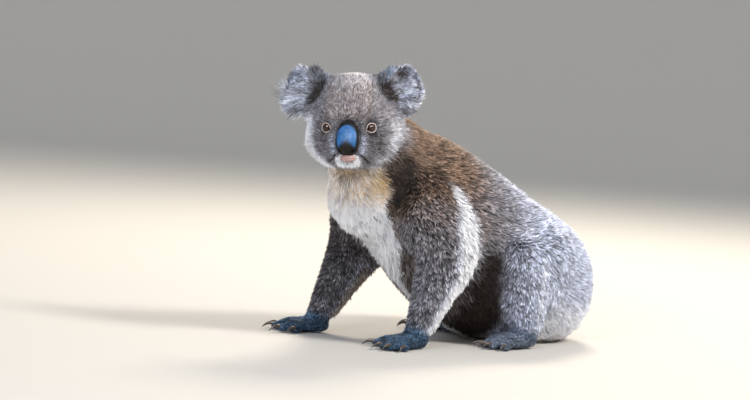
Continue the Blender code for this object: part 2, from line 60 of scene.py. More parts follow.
# Named places for the markings, as ovals: the middle, then the half sizes (m). The napes are in the frame.
# The others are in the head's own axes on its left side, and the right side mirrors them.
PLACES = {
    # the napes also bound the painted shade at the side of the neck
    "nape_left": ((0.086, -0.165, 0.262), (0.050, 0.055, 0.085)),
    "nape_right": ((-0.078, -0.180, 0.262), (0.050, 0.055, 0.085)),
    "muzzle_side": ((0.0215, 0.000, -0.024), (0.012, 1.000, 0.026)),
    "ear_root": ((0.055, 0.000, 0.056), (0.015, 0.035, 0.026)),
    "ear_top": ((0.048, 0.004, 0.083), (0.020, 0.035, 0.018)),
    "ear_tuft": ((0.058, 0.005, 0.077), (0.014, 0.035, 0.013)),
    "ear_spot_left": ((0.076, 0.010, 0.083), (0.014, 0.035, 0.009)),
    "ear_spot_right": ((0.064, 0.010, 0.083), (0.014, 0.035, 0.009)),
    "cheek_hollow": ((0.042, -0.040, -0.020), (0.020, 0.030, 0.026)),
}
BEHIND_NOSE = (0.0, -0.060, -0.022)  # in the head's axes; the face's coat is longer further from here
EAR_ROOT = (0.036, 0.046)  # in the head's axes, across and up: the locks of an ear fan out from here

RING_STOPS = {1: (0.42,), 2: (0.25, 0.62)}  # how far along a tuft its rings are
ROOT_DEPTH = 0.0006  # how far a tuft's root lies under the skin (m)
SKIN_LOWEST, TUFTS_LOWEST, CLAWS_LOWEST = 0.0006, 0.0007, 0.0004  # least height above the floor (m)

# Each kind of flesh: the coat's depth (m), the lift of a tuft's root half (degrees), a tuft's width (m), and
# the tufts on a square metre
COATS = {
    "trunk": (0.0120, 58, 0.0017, 0.52e6),
    "neck": (0.0090, 54, 0.0015, 0.66e6),
    "head": (0.0080, 50, 0.0011, 0.95e6),
    "ear": (0.0072, 38, 0.0011, 0.95e6),
    "upper_arm": (0.0100, 58, 0.0015, 0.66e6),
    "forearm": (0.0082, 54, 0.0013, 0.80e6),
    "hand": (0.0024, 36, 0.0008, 1.30e6),
    "thigh": (0.0110, 58, 0.0016, 0.58e6),
    "shank": (0.0088, 54, 0.0014, 0.70e6),
    "foot": (0.0024, 36, 0.0008, 1.30e6),
}


def linear(code):
    """The linear colour, with alpha, of an sRGB hex value."""
    parts = [int(code[k:k + 2], 16) / 255 for k in (1, 3, 5)]
    return (*(p / 12.92 if p <= 0.04045 else ((p + 0.055) / 1.055) ** 2.4 for p in parts), 1.0)


# ---------------------------------------------------------------- whole-array helpers
def unit(v):
    """Vectors of length one, row by row."""
    return v / np.maximum(np.linalg.norm(v, axis=-1, keepdims=True), 1e-12)


def ramp(low, high, x):
    """0 below low, 1 above high, and a smooth S between them; low may be the greater."""
    t = np.clip((x - low) / (high - low), 0, 1)
    return t * t * (3 - 2 * t)


def taken(items, key, width, kind=np.float32):
    """A mesh layer's values as the rows of an array."""
    flat = np.empty(len(items) * width, kind)
    items.foreach_get(key, flat)
    return flat.reshape(-1, width)


def put(layer, key, values):
    """Writes an array into a mesh layer."""
    layer.foreach_set(key, np.ascontiguousarray(values, np.float32).ravel())


def points_of(mesh):
    """A mesh's points as an array."""
    return taken(mesh.vertices, "co", 3).astype(float)


def triangles_of(mesh):
    """A mesh's triangles as an array of point numbers."""
    mesh.calc_loop_triangles()
    return taken(mesh.loop_triangles, "vertices", 3, np.int32)


def round_turn(count):
    """Evenly spaced angles round a full turn."""
    return np.linspace(0, 2 * math.pi, count, endpoint=False)


def summed(index, values, count):
    """Rows of values added up by their index."""
    return np.stack([np.bincount(index, values[:, k], count) for k in range(values.shape[1])], 1)


def normals_of(points, triangles):
    """Each point's outward direction: the sum of its triangles' cross products, made one long."""
    a, b, c = (points[triangles[:, k]] for k in range(3))
    flat = np.cross(b - a, c - a)
    return unit(summed(triangles.T.ravel(), np.tile(flat, (3, 1)), len(points)))


def merged(name):
    """A CAD node's points and triangles, with the points that coincide made one."""
    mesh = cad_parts[name].data
    points = points_of(mesh)
    _, first, same = np.unique(np.round(points * 2e5), axis=0, return_index=True, return_inverse=True)
    triangles = same.ravel()[triangles_of(mesh)]
    a, b, c = triangles.T
    return points[first], triangles[(a != b) & (b != c) & (c != a)]


def nearest(points, targets):
    """For each point the number of the closest target: least of |t|^2 - 2 p.t, in slices."""
    points, targets = points.astype(np.float32), targets.astype(np.float32)
    own, found = (targets ** 2).sum(1), np.empty(len(points), np.int64)
    for start in range(0, len(points), 4096):
        found[start:start + 4096] = (own - 2 * points[start:start + 4096] @ targets.T).argmin(1)
    return found


class Web:
    """Which points of a mesh are joined by an edge, for averages over neighbours."""

    def __init__(self, triangles, count):
        edges = ((0, 1), (1, 2), (2, 0), (1, 0), (2, 1), (0, 2))
        pairs = np.concatenate([triangles[:, edge] for edge in edges])
        code = np.unique(pairs[:, 0].astype(np.int64) * count + pairs[:, 1])
        self.mates = code % count
        tally = np.bincount(code // count, minlength=count)
        self.starts = np.cumsum(tally) - tally
        self.tally = np.maximum(tally, 1)[:, None]

    def eased(self, values, times, share=0.5):
        """Values moved towards the mean of their neighbours, again and again; share may differ by point."""
        for _ in range(times):
            mean = np.add.reduceat(values[self.mates], self.starts) / self.tally
            values = values + share * (mean - values)
        return values


def shell(name, points, faces, material, smooth=True):
    """An object at the origin, from arrays of points and of faces (one array for each corner count), with a
    material by its name."""
    mesh = bpy.data.meshes.new(name)
    mesh.vertices.add(len(points))
    put(mesh.vertices, "co", points)
    corners = np.concatenate([f.ravel() for f in faces]).astype(np.int32)
    sizes = np.concatenate([np.full(len(f), f.shape[1], np.int32) for f in faces])
    mesh.loops.add(len(corners))
    mesh.loops.foreach_set("vertex_index", corners)
    mesh.polygons.add(len(sizes))
    mesh.polygons.foreach_set("loop_start", (np.cumsum(sizes) - sizes).astype(np.int32))
    mesh.polygons.foreach_set("use_smooth", np.full(len(sizes), smooth))
    mesh.update(calc_edges=True)
    if material:
        mesh.materials.append(bpy.data.materials[material])
    made = bpy.data.objects.new(name, mesh)
    bpy.context.scene.collection.objects.link(made)
    return made


def paint(mesh, name, values, kind="FLOAT_COLOR"):
    """Stores three numbers for each point, as a colour or as a vector."""
    layer = mesh.attributes.new(name, kind, "POINT").data
    if kind == "FLOAT_COLOR":
        put(layer, "color", np.concatenate([values, np.ones((len(values), 1))], 1))
    else:
        put(layer, "vector", values)


def outward(points, faces):
    """The faces, turned round if the closed shape's volume comes out negative."""
    volume = 0.0
    for f in faces:
        for k in range(1, f.shape[1] - 1):
            a, b, c = points[f[:, 0]], points[f[:, k]], points[f[:, k + 1]]
            volume += (a * np.cross(b, c)).sum()
    return [f[:, ::-1] for f in faces] if volume < 0 else faces


def woven(rows, columns):
    """Four-cornered faces over a grid of points whose rows run round and whose last row joins the first."""
    here = np.arange(rows * columns).reshape(rows, columns)
    on, next_row = np.roll(here, -1, 1), np.roll(np.arange(rows), -1)
    return np.stack([here, on, on[next_row], here[next_row]], -1).reshape(-1, 4)


def rounds(rings, ends):
    """A closed surface through rings of points (ring, place, xyz), with one point closing each end."""
    n, m = rings.shape[:2]
    here = np.arange(n * m).reshape(n, m)
    on = np.roll(here, -1, axis=1)
    first = np.stack([on[0], here[0], np.full(m, n * m)], -1)
    last = np.stack([here[-1], on[-1], np.full(m, n * m + 1)], -1)
    points = np.concatenate([rings.reshape(-1, 3), np.asarray(ends, float)])
    return points, outward(points, [woven(n, m)[:-m], np.concatenate([first, last])])


def joined(pieces):
    """Several (points, faces) as one."""
    points = np.concatenate([p for p, _ in pieces])
    base = np.cumsum([0] + [len(p) for p, _ in pieces])
    sizes = sorted({f.shape[1] for _, faces in pieces for f in faces})
    faces = [
        np.concatenate([f + shift for (_, fs), shift in zip(pieces, base) for f in fs if f.shape[1] == size])
        for size in sizes
    ]
    return points, faces


# ---------------------------------------------------------------- materials
def wire(tree, made, inputs):
    """Gives each input of a node a value, a link to a socket, or a link to a node's first open output."""
    for key, value in inputs.items():
        if isinstance(value, bpy.types.Node):
            value = next(out for out in value.outputs if out.enabled)
        if isinstance(value, bpy.types.NodeSocket):
            tree.links.new(value, made.inputs[key])
        else:
            made.inputs[key].default_value = value


def node(tree, kind, inputs=(), **settings):
    """Adds a shader node with its settings and inputs."""
    made = tree.nodes.new("ShaderNode" + kind)
    for name, value in settings.items():
        setattr(made, name, value)
    wire(tree, made, dict(inputs))
    return made


def new_material(name, **sockets):
    """A material with one Principled shader: its tree, the shader, and the place on the object."""
    material = bpy.data.materials.new(name)
    material.use_nodes = True
    tree = material.node_tree
    shader = tree.nodes["Principled BSDF"]
    wire(tree, shader, {key.replace("_", " "): value for key, value in sockets.items()})
    return tree, shader, node(tree, "TexCoord").outputs["Object"]


def marked_colour(tree):
    """The coat's colour: grey, with the other six laid over it in turn by their marks."""
    coat = bpy.context.scene.koala_colours
    marks = []
    for name in ("marks_a", "marks_b"):
        marks += node(tree, "SeparateColor", {0: node(tree, "Attribute", attribute_name=name)}).outputs
    marks = dict(zip(("white", "brown", "silver", "dark", "slate", "ochre"), marks))
    colour = tuple(coat.grey)
    for tint in ("brown", "silver", "white", "ochre", "slate", "dark"):
        over = tuple(getattr(coat, tint))
        colour = node(tree, "Mix", {0: marks[tint], 6: colour, 7: over}, data_type="RGBA")
    return colour


def coat_material(name, root, tip):
    """Koala wool: dark roots and pale tips, and each tuft and lock lighter or darker than the next."""
    tree, shader, place = new_material(
        name, Roughness=0.75, Specular_IOR_Level=0.25, Sheen_Weight=0.10, Sheen_Roughness=0.45
    )
    shade = node(tree, "Attribute", attribute_name="tuft")
    along, tuft, lock = node(tree, "SeparateColor", {0: shade}).outputs
    # the root half is dark, as wool shades itself there, and the tip is bleached
    along = node(tree, "MapRange", {0: along, 3: root, 4: tip})
    # grizzle: most tufts are darker than the mean and a few much paler
    each = node(tree, "Math", {0: tuft, 1: 2.2}, operation="POWER")
    each = node(tree, "MapRange", {0: each, 3: 0.48, 4: 2.2})
    lock = node(tree, "MapRange", {0: lock, 3: 0.25, 4: 1.75})
    each = node(tree, "Math", {0: each, 1: lock}, operation="MULTIPLY")
    # the white parts are less grizzled
    white = node(tree, "SeparateColor", {0: node(tree, "Attribute", attribute_name="marks_a")})
    plain = node(tree, "Math", {0: white, 1: 0.65}, operation="MULTIPLY")
    each = node(tree, "Mix", {0: plain, 2: each, 3: 1.26}, data_type="FLOAT")
    gain = node(tree, "Math", {0: along, 1: each}, operation="MULTIPLY")
    # soft patches about 14 mm across, as the coat parts and mats
    patch = node(tree, "TexNoise", {"Vector": place, "Scale": 70.0, "Detail": 2.0})
    patch = node(tree, "MapRange", {0: patch, 1: 0.3, 2: 0.7, 3: 0.86, 4: 1.12})
    gain = node(tree, "Math", {0: gain, 1: patch}, operation="MULTIPLY")
    lit = node(tree, "VectorMath", {0: marked_colour(tree), "Scale": gain}, operation="SCALE")
    wire(tree, shader, {"Base Color": lit})


def skin_material():
    """The hide under the coat: matt, in the coat's own colours but darker, with short felt as bump."""
    tree, shader, place = new_material("koala_undercoat", Roughness=0.9, Specular_IOR_Level=0.1)
    dim = node(tree, "VectorMath", {0: marked_colour(tree), "Scale": 0.38}, operation="SCALE")
    # felt about 1.2 mm across
    felt = node(tree, "TexNoise", {"Vector": place, "Scale": 850.0, "Detail": 3.0})
    bump = node(tree, "Bump", {"Strength": 0.5, "Distance": 0.0006, "Height": felt})
    wire(tree, shader, {"Base Color": dim, "Normal": bump})


# ---------------------------------------------------------------- where things are
def middle_of(name):
    """The middle of a CAD node's box."""
    low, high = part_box(name)
    return (np.array(low) + np.array(high)) / 2


def centre_of(name):
    """The mean of a CAD node's points."""
    return merged(name)[0].mean(0)


def head_axes():
    """The head's middle, and its axes as rows: to its left, to its back, and up. The eyes give them."""
    left, right = middle_of("eye_left"), middle_of("eye_right")
    across = unit(left - right)
    up = unit(np.array([0.0, 0.0, 1.0]) - across * across[2])
    back = np.cross(up, across)
    behind, below = 0.0424, 0.0019  # from the eyes to the head's middle (m)
    return (left + right) / 2 + behind * back - below * up, np.stack([across, back, up])


HEAD_MIDDLE, HEAD_AXES = head_axes()


def in_head(points):
    """Points in the head's own axes."""
    return (points - HEAD_MIDDLE) @ HEAD_AXES.T


def from_head(points):
    """Points in the head's own axes back in the frame."""
    return np.asarray(points, float) @ HEAD_AXES + HEAD_MIDDLE


def ear_axes(side):
    """An ear's axes as rows: across, out of its back, and up; splayed 14 and tipped out 34 degrees."""
    turn = Matrix.Rotation(math.radians(14 * side), 3, "Z") @ Matrix.Rotation(math.radians(34 * side), 3, "Y")
    return np.array(turn).T @ HEAD_AXES


# ---------------------------------------------------------------- the skin
def voxel_body():
    """The flesh nodes' solids, each grown a little so that their cuts close, made one by voxels."""
    sizes = bpy.context.scene.koala_skin
    parts = []
    for name in FLESH:
        points, triangles = merged(name)
        parts.append((points + normals_of(points, triangles) * sizes.overlap, [triangles]))
    points, faces = joined(parts)
    rough = shell("skin_rough", points, faces, None)
    remesh = rough.modifiers.new("one_skin", "REMESH")
    remesh.mode, remesh.voxel_size, remesh.adaptivity = "VOXEL", sizes.voxel, 0.0
    whole = bpy.data.meshes.new_from_object(rough.evaluated_get(bpy.context.evaluated_depsgraph_get()))
    bpy.data.objects.remove(rough)
    return whole


def shares_of(points, web):
    """For each flesh node the share it has in each point: 1 by the nearest node, softened over neighbours."""
    sample, owner = [], []
    for k, name in enumerate(FLESH):
        own, triangles = merged(name)
        spots = np.concatenate([own, own[triangles].mean(1)])
        sample.append(spots)
        owner.append(np.full(len(spots), k))
    owner = np.concatenate(owner)[nearest(points, np.concatenate(sample))]
    hard = np.zeros((len(points), len(FLESH)))
    hard[np.arange(len(points)), owner] = 1
    return hard, web.eased(hard, 40)


def by_kind(column):
    """One of the numbers in COATS, blended by the nodes' shares."""
    return SKIN["shares"] @ [COATS[name.replace("_left", "").replace("_right", "")][column] for name in FLESH]


def depth_of_coat(points, normals):
    """How deep the coat is: by kind of flesh, thinner towards the muzzle, and thin underfoot."""
    depth, local = by_kind(0), in_head(points)
    # over the head: its back, its front, the muzzle and the cheeks, each laid over the last
    face = 0.0082 + ramp(0.005, -0.030, local[:, 1]) * (0.0044 - 0.0082)
    face = face + ramp(0.048, 0.022, np.linalg.norm(local - BEHIND_NOSE, axis=1)) * (0.0030 - face)
    face = face + ramp(0.045, 0.062, np.abs(local[:, 0])) * ramp(0.035, 0.0, local[:, 2]) * (0.0100 - face)
    depth = depth + share("head") * (face - depth)
    crest = ear_crest(local)
    for name, side in SIDES.items():
        ear = (points - middle_of("ear_" + name)) @ ear_axes(side).T
        rim = ramp(0.024, 0.046, np.hypot(ear[:, 0], ear[:, 2]))
        depth = depth + share("ear_" + name) * (0.0075 * rim * (1 - crest) - 0.0035 * crest)
    under = ramp(0.3, 0.9, -normals[:, 2]) * ramp(0.02, 0.006, points[:, 2])
    return depth * (1 - 0.6 * under * share("hand", "foot"))


def make_skin():
    """The skin: the voxel body smoothed, then drawn in by the coat's depth along its own normals."""
    mesh = voxel_body()
    points, triangles = points_of(mesh), triangles_of(mesh)
    web = Web(triangles, len(points))
    SKIN["hard"], SKIN["shares"] = shares_of(points, web)
    points = web.eased(points, 24, 0.5 * (1 - 0.85 * ramp(0.2, 0.8, share("hand", "foot")))[:, None])
    depth = depth_of_coat(points, normals_of(points, triangles))
    depth = web.eased(depth[:, None], 6)[:, 0]
    steps = 8
    for _ in range(steps):
        points = points - normals_of(points, triangles) * depth[:, None] / steps
        points = web.eased(points, 1, 0.25)
    points[:, 2] = np.maximum(points[:, 2], SKIN_LOWEST)
    SKIN.update(points=points, triangles=triangles, web=web, depth=depth)
    SKIN["normals"] = normals_of(points, triangles)
    return mesh


def lower_end(name):
    """The lower end of a forearm or a shank: the mean of its lowest points."""
    points = merged(name)[0]
    return points[points[:, 2] < points[:, 2].min() + 0.012].mean(0)


def in_skin(ways, normals):
    """Ways laid flat in the skin, and made one long."""
    return unit(ways - normals * (ways * normals).sum(1, keepdims=True))


def lie_of_coat():
    """The way the coat lies: back and down over neck and trunk, out from the nose over the head, out from
    the root over each ear, down each limb and out along the digits; laid in the skin and softened."""
    points, normals, local = SKIN["points"], SKIN["normals"], in_head(SKIN["points"])
    away = unit(local - [0, -0.062, -0.010])
    behind = ramp(0.0, 0.05, local[:, 1])[:, None]
    ways = {
        "trunk": np.array([0.0, 0.80, -0.60]),
        "neck": np.array([0.0, 0.80, -0.60]),
        "head": unit(away + behind * [0, 0.3, -1.1]) @ HEAD_AXES,
    }
    for name, side in SIDES.items():
        hang = ramp(0.060, 0.085, side * local[:, 0]) * ramp(0.085, 0.055, local[:, 2]) * 0.40
        fan = unit(points - from_head([side * 0.046, 0.004, 0.050])) - hang[:, None] * HEAD_AXES[2]
        up = unit(points - from_head([side * 0.020, 0.010, 0.005]))
        ways["ear_" + name] = fan + (up - fan) * ramp(-0.1, 0.4, normals @ HEAD_AXES[1])[:, None]
        elbow, wrist = centre_of("forearm_" + name), lower_end("forearm_" + name)
        trail = np.array([0.0, 0.30, 0.0])
        ways["upper_arm_" + name] = unit(elbow - centre_of("upper_arm_" + name)) + trail
        ways["forearm_" + name] = unit(wrist - elbow) + trail
        ways["thigh_" + name] = np.array([0.0, 0.25, -1.0])
        ways["shank_" + name] = np.array([0.0, 0.15, -1.0])
        for paw, joint in (("hand_", wrist), ("foot_", lower_end("shank_" + name))):
            ways[paw + name] = unit((centre_of(paw + name) - joint) * [1, 1, 0]) + [0, 0, -0.2]
    lie = sum(SKIN["shares"][:, [k]] * ways[name] for k, name in enumerate(FLESH))
    for name in SIDES:
        away, off = from_eye(points, name)
        lie = lie + away * (1.6 * np.exp(-(off / 0.0125) ** 2))[:, None]
    for _ in range(12):
        lie = SKIN["web"].eased(in_skin(lie, normals), 2)
    lie = in_skin(lie, normals)
    # at a whorl the ways cancel out when they are eased, and the coat stands up there
    SKIN["whorl"] = ramp(0.97, 0.80, np.linalg.norm(SKIN["web"].eased(lie, 12), axis=1))
    return lie


def from_eye(points, name):
    """The direction straight away from an eye's middle line, and the distance from that line."""
    axis = eye_look(name)
    gap = points - middle_of("eye_" + name)
    flat = gap - axis * (gap @ axis)[:, None]
    off = np.linalg.norm(flat, axis=1)
    beside = np.abs(gap @ axis) <= 0.03  # the back of the head lies on the same line, and is far off
    return unit(flat), np.where(beside, off, 1.0)


def eye_look(name, splay=0.45):
    """The way an eye's opening faces."""
    return unit(np.array([SIDES[name] * splay, -1.0, 0.04])) @ HEAD_AXES


def share(*kinds):
    """The summed share in each point of the skin of the flesh nodes whose names start so."""
    return sum(
        SKIN["shares"][:, k] for kind in kinds for k, name in enumerate(FLESH) if name.startswith(kind)
    )


def within(points, place):
    """1 at the middle of a named oval, easing to 0 at its edge."""
    middle, sizes = PLACES[place]
    return ramp(1.0, 0.45, np.linalg.norm((points - middle) / sizes, axis=1))


def off_nose(local):
    """How far each point is from the nose pad's middle, over the pad's own size: 1 at its edge."""
    return np.hypot(local[:, 0] / 0.0165, (local[:, 2] + 0.0125) / 0.0265)


def ear_crest(local):
    """1 at the inner top of the ears."""
    return ramp(0.066, 0.050, np.abs(local[:, 0])) * ramp(0.066, 0.078, local[:, 2])


def markings():
    """The koala's markings on the skin, each from 0 to 1: white, brown, silver, then dark, slate and ochre;
    the dark and the ochre also carry painted shade.
    Each is a sum of parts: a share of flesh, times ramps of the place that bound it, times a strength."""
    normals, ears = SKIN["normals"], share("ear")
    # a tuft is seen above its root and further along the lie, so that is where its mark is looked up
    seen = SKIN["depth"] * (1 - 0.40 * ears)
    points = SKIN["points"] + (0.7 * normals + 1.0 * SKIN["lie"]) * seen[:, None]
    x, y, z = points.T
    local = in_head(points)
    hx, hy, hz = local.T
    wide, ahead, near = np.abs(hx), ramp(-0.018, -0.034, hy), hx > 0
    head, trunk, body, paws = share("head"), share("trunk"), share("trunk", "neck"), share("hand", "foot")
    arms, legs = share("upper_arm", "forearm"), share("thigh", "shank")
    # the far arm, over which shade is painted: darker, with a dimmer and beige pale band
    far_arm_shade = share("upper_arm_right", "forearm_right")

    # the white bib, from the throat down to a point between the arms, as half widths by height
    half = np.interp(z, [0.085, 0.12, 0.15, 0.20, 0.25], [0.008, 0.032, 0.051, 0.060, 0.064])
    bib = body * ramp(0.006, -0.006, np.abs(x - 0.004) - half) * ramp(0.0, 0.18, normals @ [0, -0.85, -0.50])
    # the fluff at the edge of the cheeks
    edge = np.interp(hz, [-0.060, -0.045, -0.030, -0.010], [0.022, 0.036, 0.048, 0.055]) + 0.006 * near
    cheek = head * ramp(-0.004, 0.008, wide - edge) * ramp(0.034, 0.012, hz) * ramp(0.050, 0.020, hy)
    cheek = cheek * np.where(near, 0.40, 0.62)
    # the chin, a rounded oblong, and a pale lace along the lower edge of the nose
    chin = ((wide / 0.0200) ** 3 + (np.abs(hz + 0.0500) / 0.0102) ** 3) ** (1 / 3)
    chin = head * ahead * ramp(1.20, 0.80, chin)
    lace = head * ahead * np.exp(-((off_nose(local) - 1.16) / 0.10) ** 2) * ramp(0.000, -0.016, hz)
    brow = head * ramp(0.046, 0.026, wide) * ramp(0.006, 0.026, hz)
    crown = head * ramp(0.050, 0.080, hz) * ramp(0.050, 0.010, hy)
    # the trailing edge of each arm and shank, and the seat
    trailing = arms * ramp(0.268, 0.236, z) * ramp(-0.14, 0.18, normals[:, 1] - 0.16 * ramp(0.18, 0.23, z))
    shin = legs * np.exp(-((y - 0.090) / 0.009) ** 2) * ramp(0.17, 0.13, z) * 0.75
    seat = (trunk + legs) * ramp(0.10, 0.03, z) * ramp(0.10, 0.15, y) * 0.60
    white = cheek + 0.15 * crown + 0.27 * brow + 0.55 * lace + 0.85 * chin + bib
    # the far arm's pale band is weaker: painted shade
    white = np.clip(white + trailing * np.where(x > 0, 0.80, 0.50) + 0.6 * shin + seat, 0, 1)

    # brown: neck, shoulders, upper back and upper arms, and a little on the forehead and the back of the head
    nape = (1 - head) * (within(points, "nape_left") + within(points, "nape_right"))
    mantle = body * ramp(0.085, -0.045, y) * ramp(0.135, 0.175, z) + arms * ramp(0.215, 0.26, z)
    brown = mantle * (0.56 + 0.40 * ramp(0.22, 0.28, z)) + 0.80 * brow + 0.40 * head * ramp(0.015, 0.050, hy)
    brown = brown + 0.46 * arms * ramp(0.14, 0.21, z) + 0.4 * nape
    # silver: loins, rump and haunches, the short hair beside the nose, and under all that is white
    loins = (trunk + legs) * ramp(-0.01, 0.17, y) * 0.85
    muzzle = head * ahead * within(np.stack([wide, 0 * wide, hz], 1), "muzzle_side")
    silver = loins + 0.38 * legs + 0.5 * share("foot") + 0.55 * muzzle + 0.34 * brow + trailing + shin + cheek
    silver = silver + 0.22 * arms * ramp(0.18, 0.11, z)
    # dark: painted shade at the side of the neck, under the belly between arm and leg, and over the far arm
    # the belly between the arm and the leg, where shade is painted dark
    belly_shade = body * ramp(0.165, 0.135, z) * ramp(0.075, 0.045, y) * ramp(-0.30, -0.20, y)
    # painted shade at the side of the neck and in front of the shoulders, laid over the brown there
    dark = nape * (0.78 - 0.32 * arms) + 0.19 * mantle * ramp(-0.05, -0.09, y)
    dark = dark + belly_shade * (0.50 + 0.50 * ramp(-0.02, 0.02, y)) + 0.42 * far_arm_shade
    dark = dark + arms * (0.19 - 0.14 * ramp(0.13, 0.08, z))
    slate = np.clip(1.1 * paws, 0, 1) * (1 - 0.45 * share("foot"))
    for name, side in SIDES.items():
        ear, mirrored = share("ear_" + name), local * [side, 1, 1]
        out = mirrored[:, 0]
        own = ear + head * ramp(0.030, 0.044, out) * ramp(0.020, 0.034, hz)
        front = own * ramp(0.022, 0.010, hy)
        # the dark root slants outwards and down, and dark and pale locks fan out from it
        root = front * within(mirrored + (hz - 0.056)[:, None] * [0.6, 0, 0], "ear_root")
        top = front * within(mirrored, "ear_top")
        turn = np.arctan2(hz - EAR_ROOT[1], out - EAR_ROOT[0])
        fan = np.sin(11 * turn + 1.6 * np.sin(3 * turn + side))
        fan = front * fan * ramp(0.020, 0.032, np.hypot(hz - EAR_ROOT[1], out - EAR_ROOT[0]))
        dark += 0.80 * root + 0.55 * front * within(mirrored, "ear_spot_" + name) + 0.38 * np.clip(fan, 0, 1)
        slate += 0.55 * root + 0.45 * top
        fringe = own * ramp(0.062, 0.080, out) * ramp(0.080, 0.065, hz) * np.where(near, 0.12, 0.34)
        for pale in (0.30 * np.clip(-fan, 0, 1), 0.30 * front * within(mirrored, "ear_tuft"), fringe):
            white = np.maximum(white, pale)
        silver += ear * (0.30 + (0.45 if side > 0 else 0.65) * ramp(0.058, 0.074, out))
        # the back and the upper outer rim are grey-brown fuzz
        rim = ramp(0.070, 0.082, out) * ramp(0.070, 0.082, hz)
        rim = np.maximum(ramp(0.05, 0.5, normals @ HEAD_AXES[1]), rim)
        brown += 0.50 * ear * rim
        # dark round the eyes, in the hollow of the cheeks and at the corners of the mouth
        dark += 0.30 * head * ramp(0.0165, 0.0085, from_eye(points, name)[1])
        dark += head * within(mirrored, "cheek_hollow") * (0.52 if side > 0 else 0.38)
        corner = np.exp(-((out - 0.0235 + 0.9 * (hz + 0.044)) / 0.0026) ** 2)
        dark += 0.95 * head * ahead * corner * ramp(-0.055, -0.050, hz) * ramp(-0.035, -0.040, hz)
    dark = np.clip(dark, 0, 1) * (1 - 0.85 * np.clip(bib + chin, 0, 1))
    # ochre: the throat, under the chin, the hair stained under the belly, painted shade on the pale trailing
    # edge of the far arm, and the seat
    ochre = body * bib * (ramp(0.19, 0.28, z) * (0.40 + 0.34 * ramp(-0.03, 0.02, x)) + 0.12)
    ochre = ochre + 0.55 * head * ramp(-0.058, -0.066, hz) + 0.15 * nape
    ochre = ochre + 0.35 * belly_shade * (1 - bib) * ramp(0.02, -0.03, y)
    ochre = ochre + 0.60 * trailing * far_arm_shade + 0.35 * trunk * ramp(0.03, 0.0, z)
    return np.stack([white, brown, silver], 1).clip(0, 1), np.stack([dark, slate, ochre], 1).clip(0, 1)


class KOALA_OT_skin(bpy.types.Operator):
    """One skin in place of every node of flesh"""

    bl_idname = "koala.skin"
    bl_label = "Skin"

    def execute(self, context):
        skin_material()
        mesh = make_skin()
        put(mesh.vertices, "co", SKIN["points"])
        mesh.update()
        mesh.name = "skin"
        mesh.polygons.foreach_set("use_smooth", np.ones(len(mesh.polygons), bool))
        mesh.materials.clear()
        mesh.materials.append(bpy.data.materials["koala_undercoat"])
        SKIN["lie"] = lie_of_coat()
        SKIN["marks"] = markings()
        paint(mesh, "marks_a", SKIN["marks"][0])
        paint(mesh, "marks_b", SKIN["marks"][1])
        skin = bpy.data.objects.new("skin", mesh)
        context.scene.collection.objects.link(skin)
        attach(skin, "root")
        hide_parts(*FLESH)
        return {"FINISHED"}


# ---------------------------------------------------------------- the coat
def scattered(chosen, budget, rng):
    """Roots spread evenly over the chosen triangles by area and density: the cumulated count is cut into
    equal steps, and each root falls at random in its triangle, which its three corner shares place."""
    points, triangles = SKIN["points"], SKIN["triangles"][chosen]
    a, b, c = (points[triangles[:, k]] for k in range(3))
    area = np.linalg.norm(np.cross(b - a, c - a), axis=1) / 2
    wanted = area * SKIN["density"][triangles].mean(1)
    count = int(min(wanted.sum(), budget))
    steps = (np.arange(count) + rng.random(count)) / count * wanted.sum()
    which = np.minimum(np.searchsorted(np.cumsum(wanted), steps), len(triangles) - 1)
    u, v = rng.random((2, count))
    over = u + v > 1
    u, v = np.where(over, 1 - u, u), np.where(over, 1 - v, v)
    return chosen[which], np.stack([1 - u - v, u, v], 1)


def at_roots(values, which, corner):
    """Values of the skin's points, blended to the roots."""
    picked = values[SKIN["triangles"][which]]
    return (picked * corner.reshape(*corner.shape, *[1] * (picked.ndim - 2))).sum(1)


def unwrapped(chosen):
    """A flat map of just these skin triangles, corner by corner, from Blender's own unwrap of their shape."""
    used, again = np.unique(SKIN["triangles"][chosen], return_inverse=True)
    patch = shell("unwrap", SKIN["points"][used], [again.reshape(-1, 3)], None)
    bpy.context.view_layer.objects.active = patch
    patch.select_set(True)
    bpy.ops.object.mode_set(mode="EDIT")
    bpy.ops.mesh.select_all(action="SELECT")
    bpy.ops.uv.smart_project(angle_limit=math.radians(66), island_margin=0.004)
    bpy.ops.object.mode_set(mode="OBJECT")
    flat = taken(patch.data.uv_layers.active.uv, "vector", 2).reshape(-1, 3, 2)
    bpy.data.objects.remove(patch)
    return flat.astype(float)


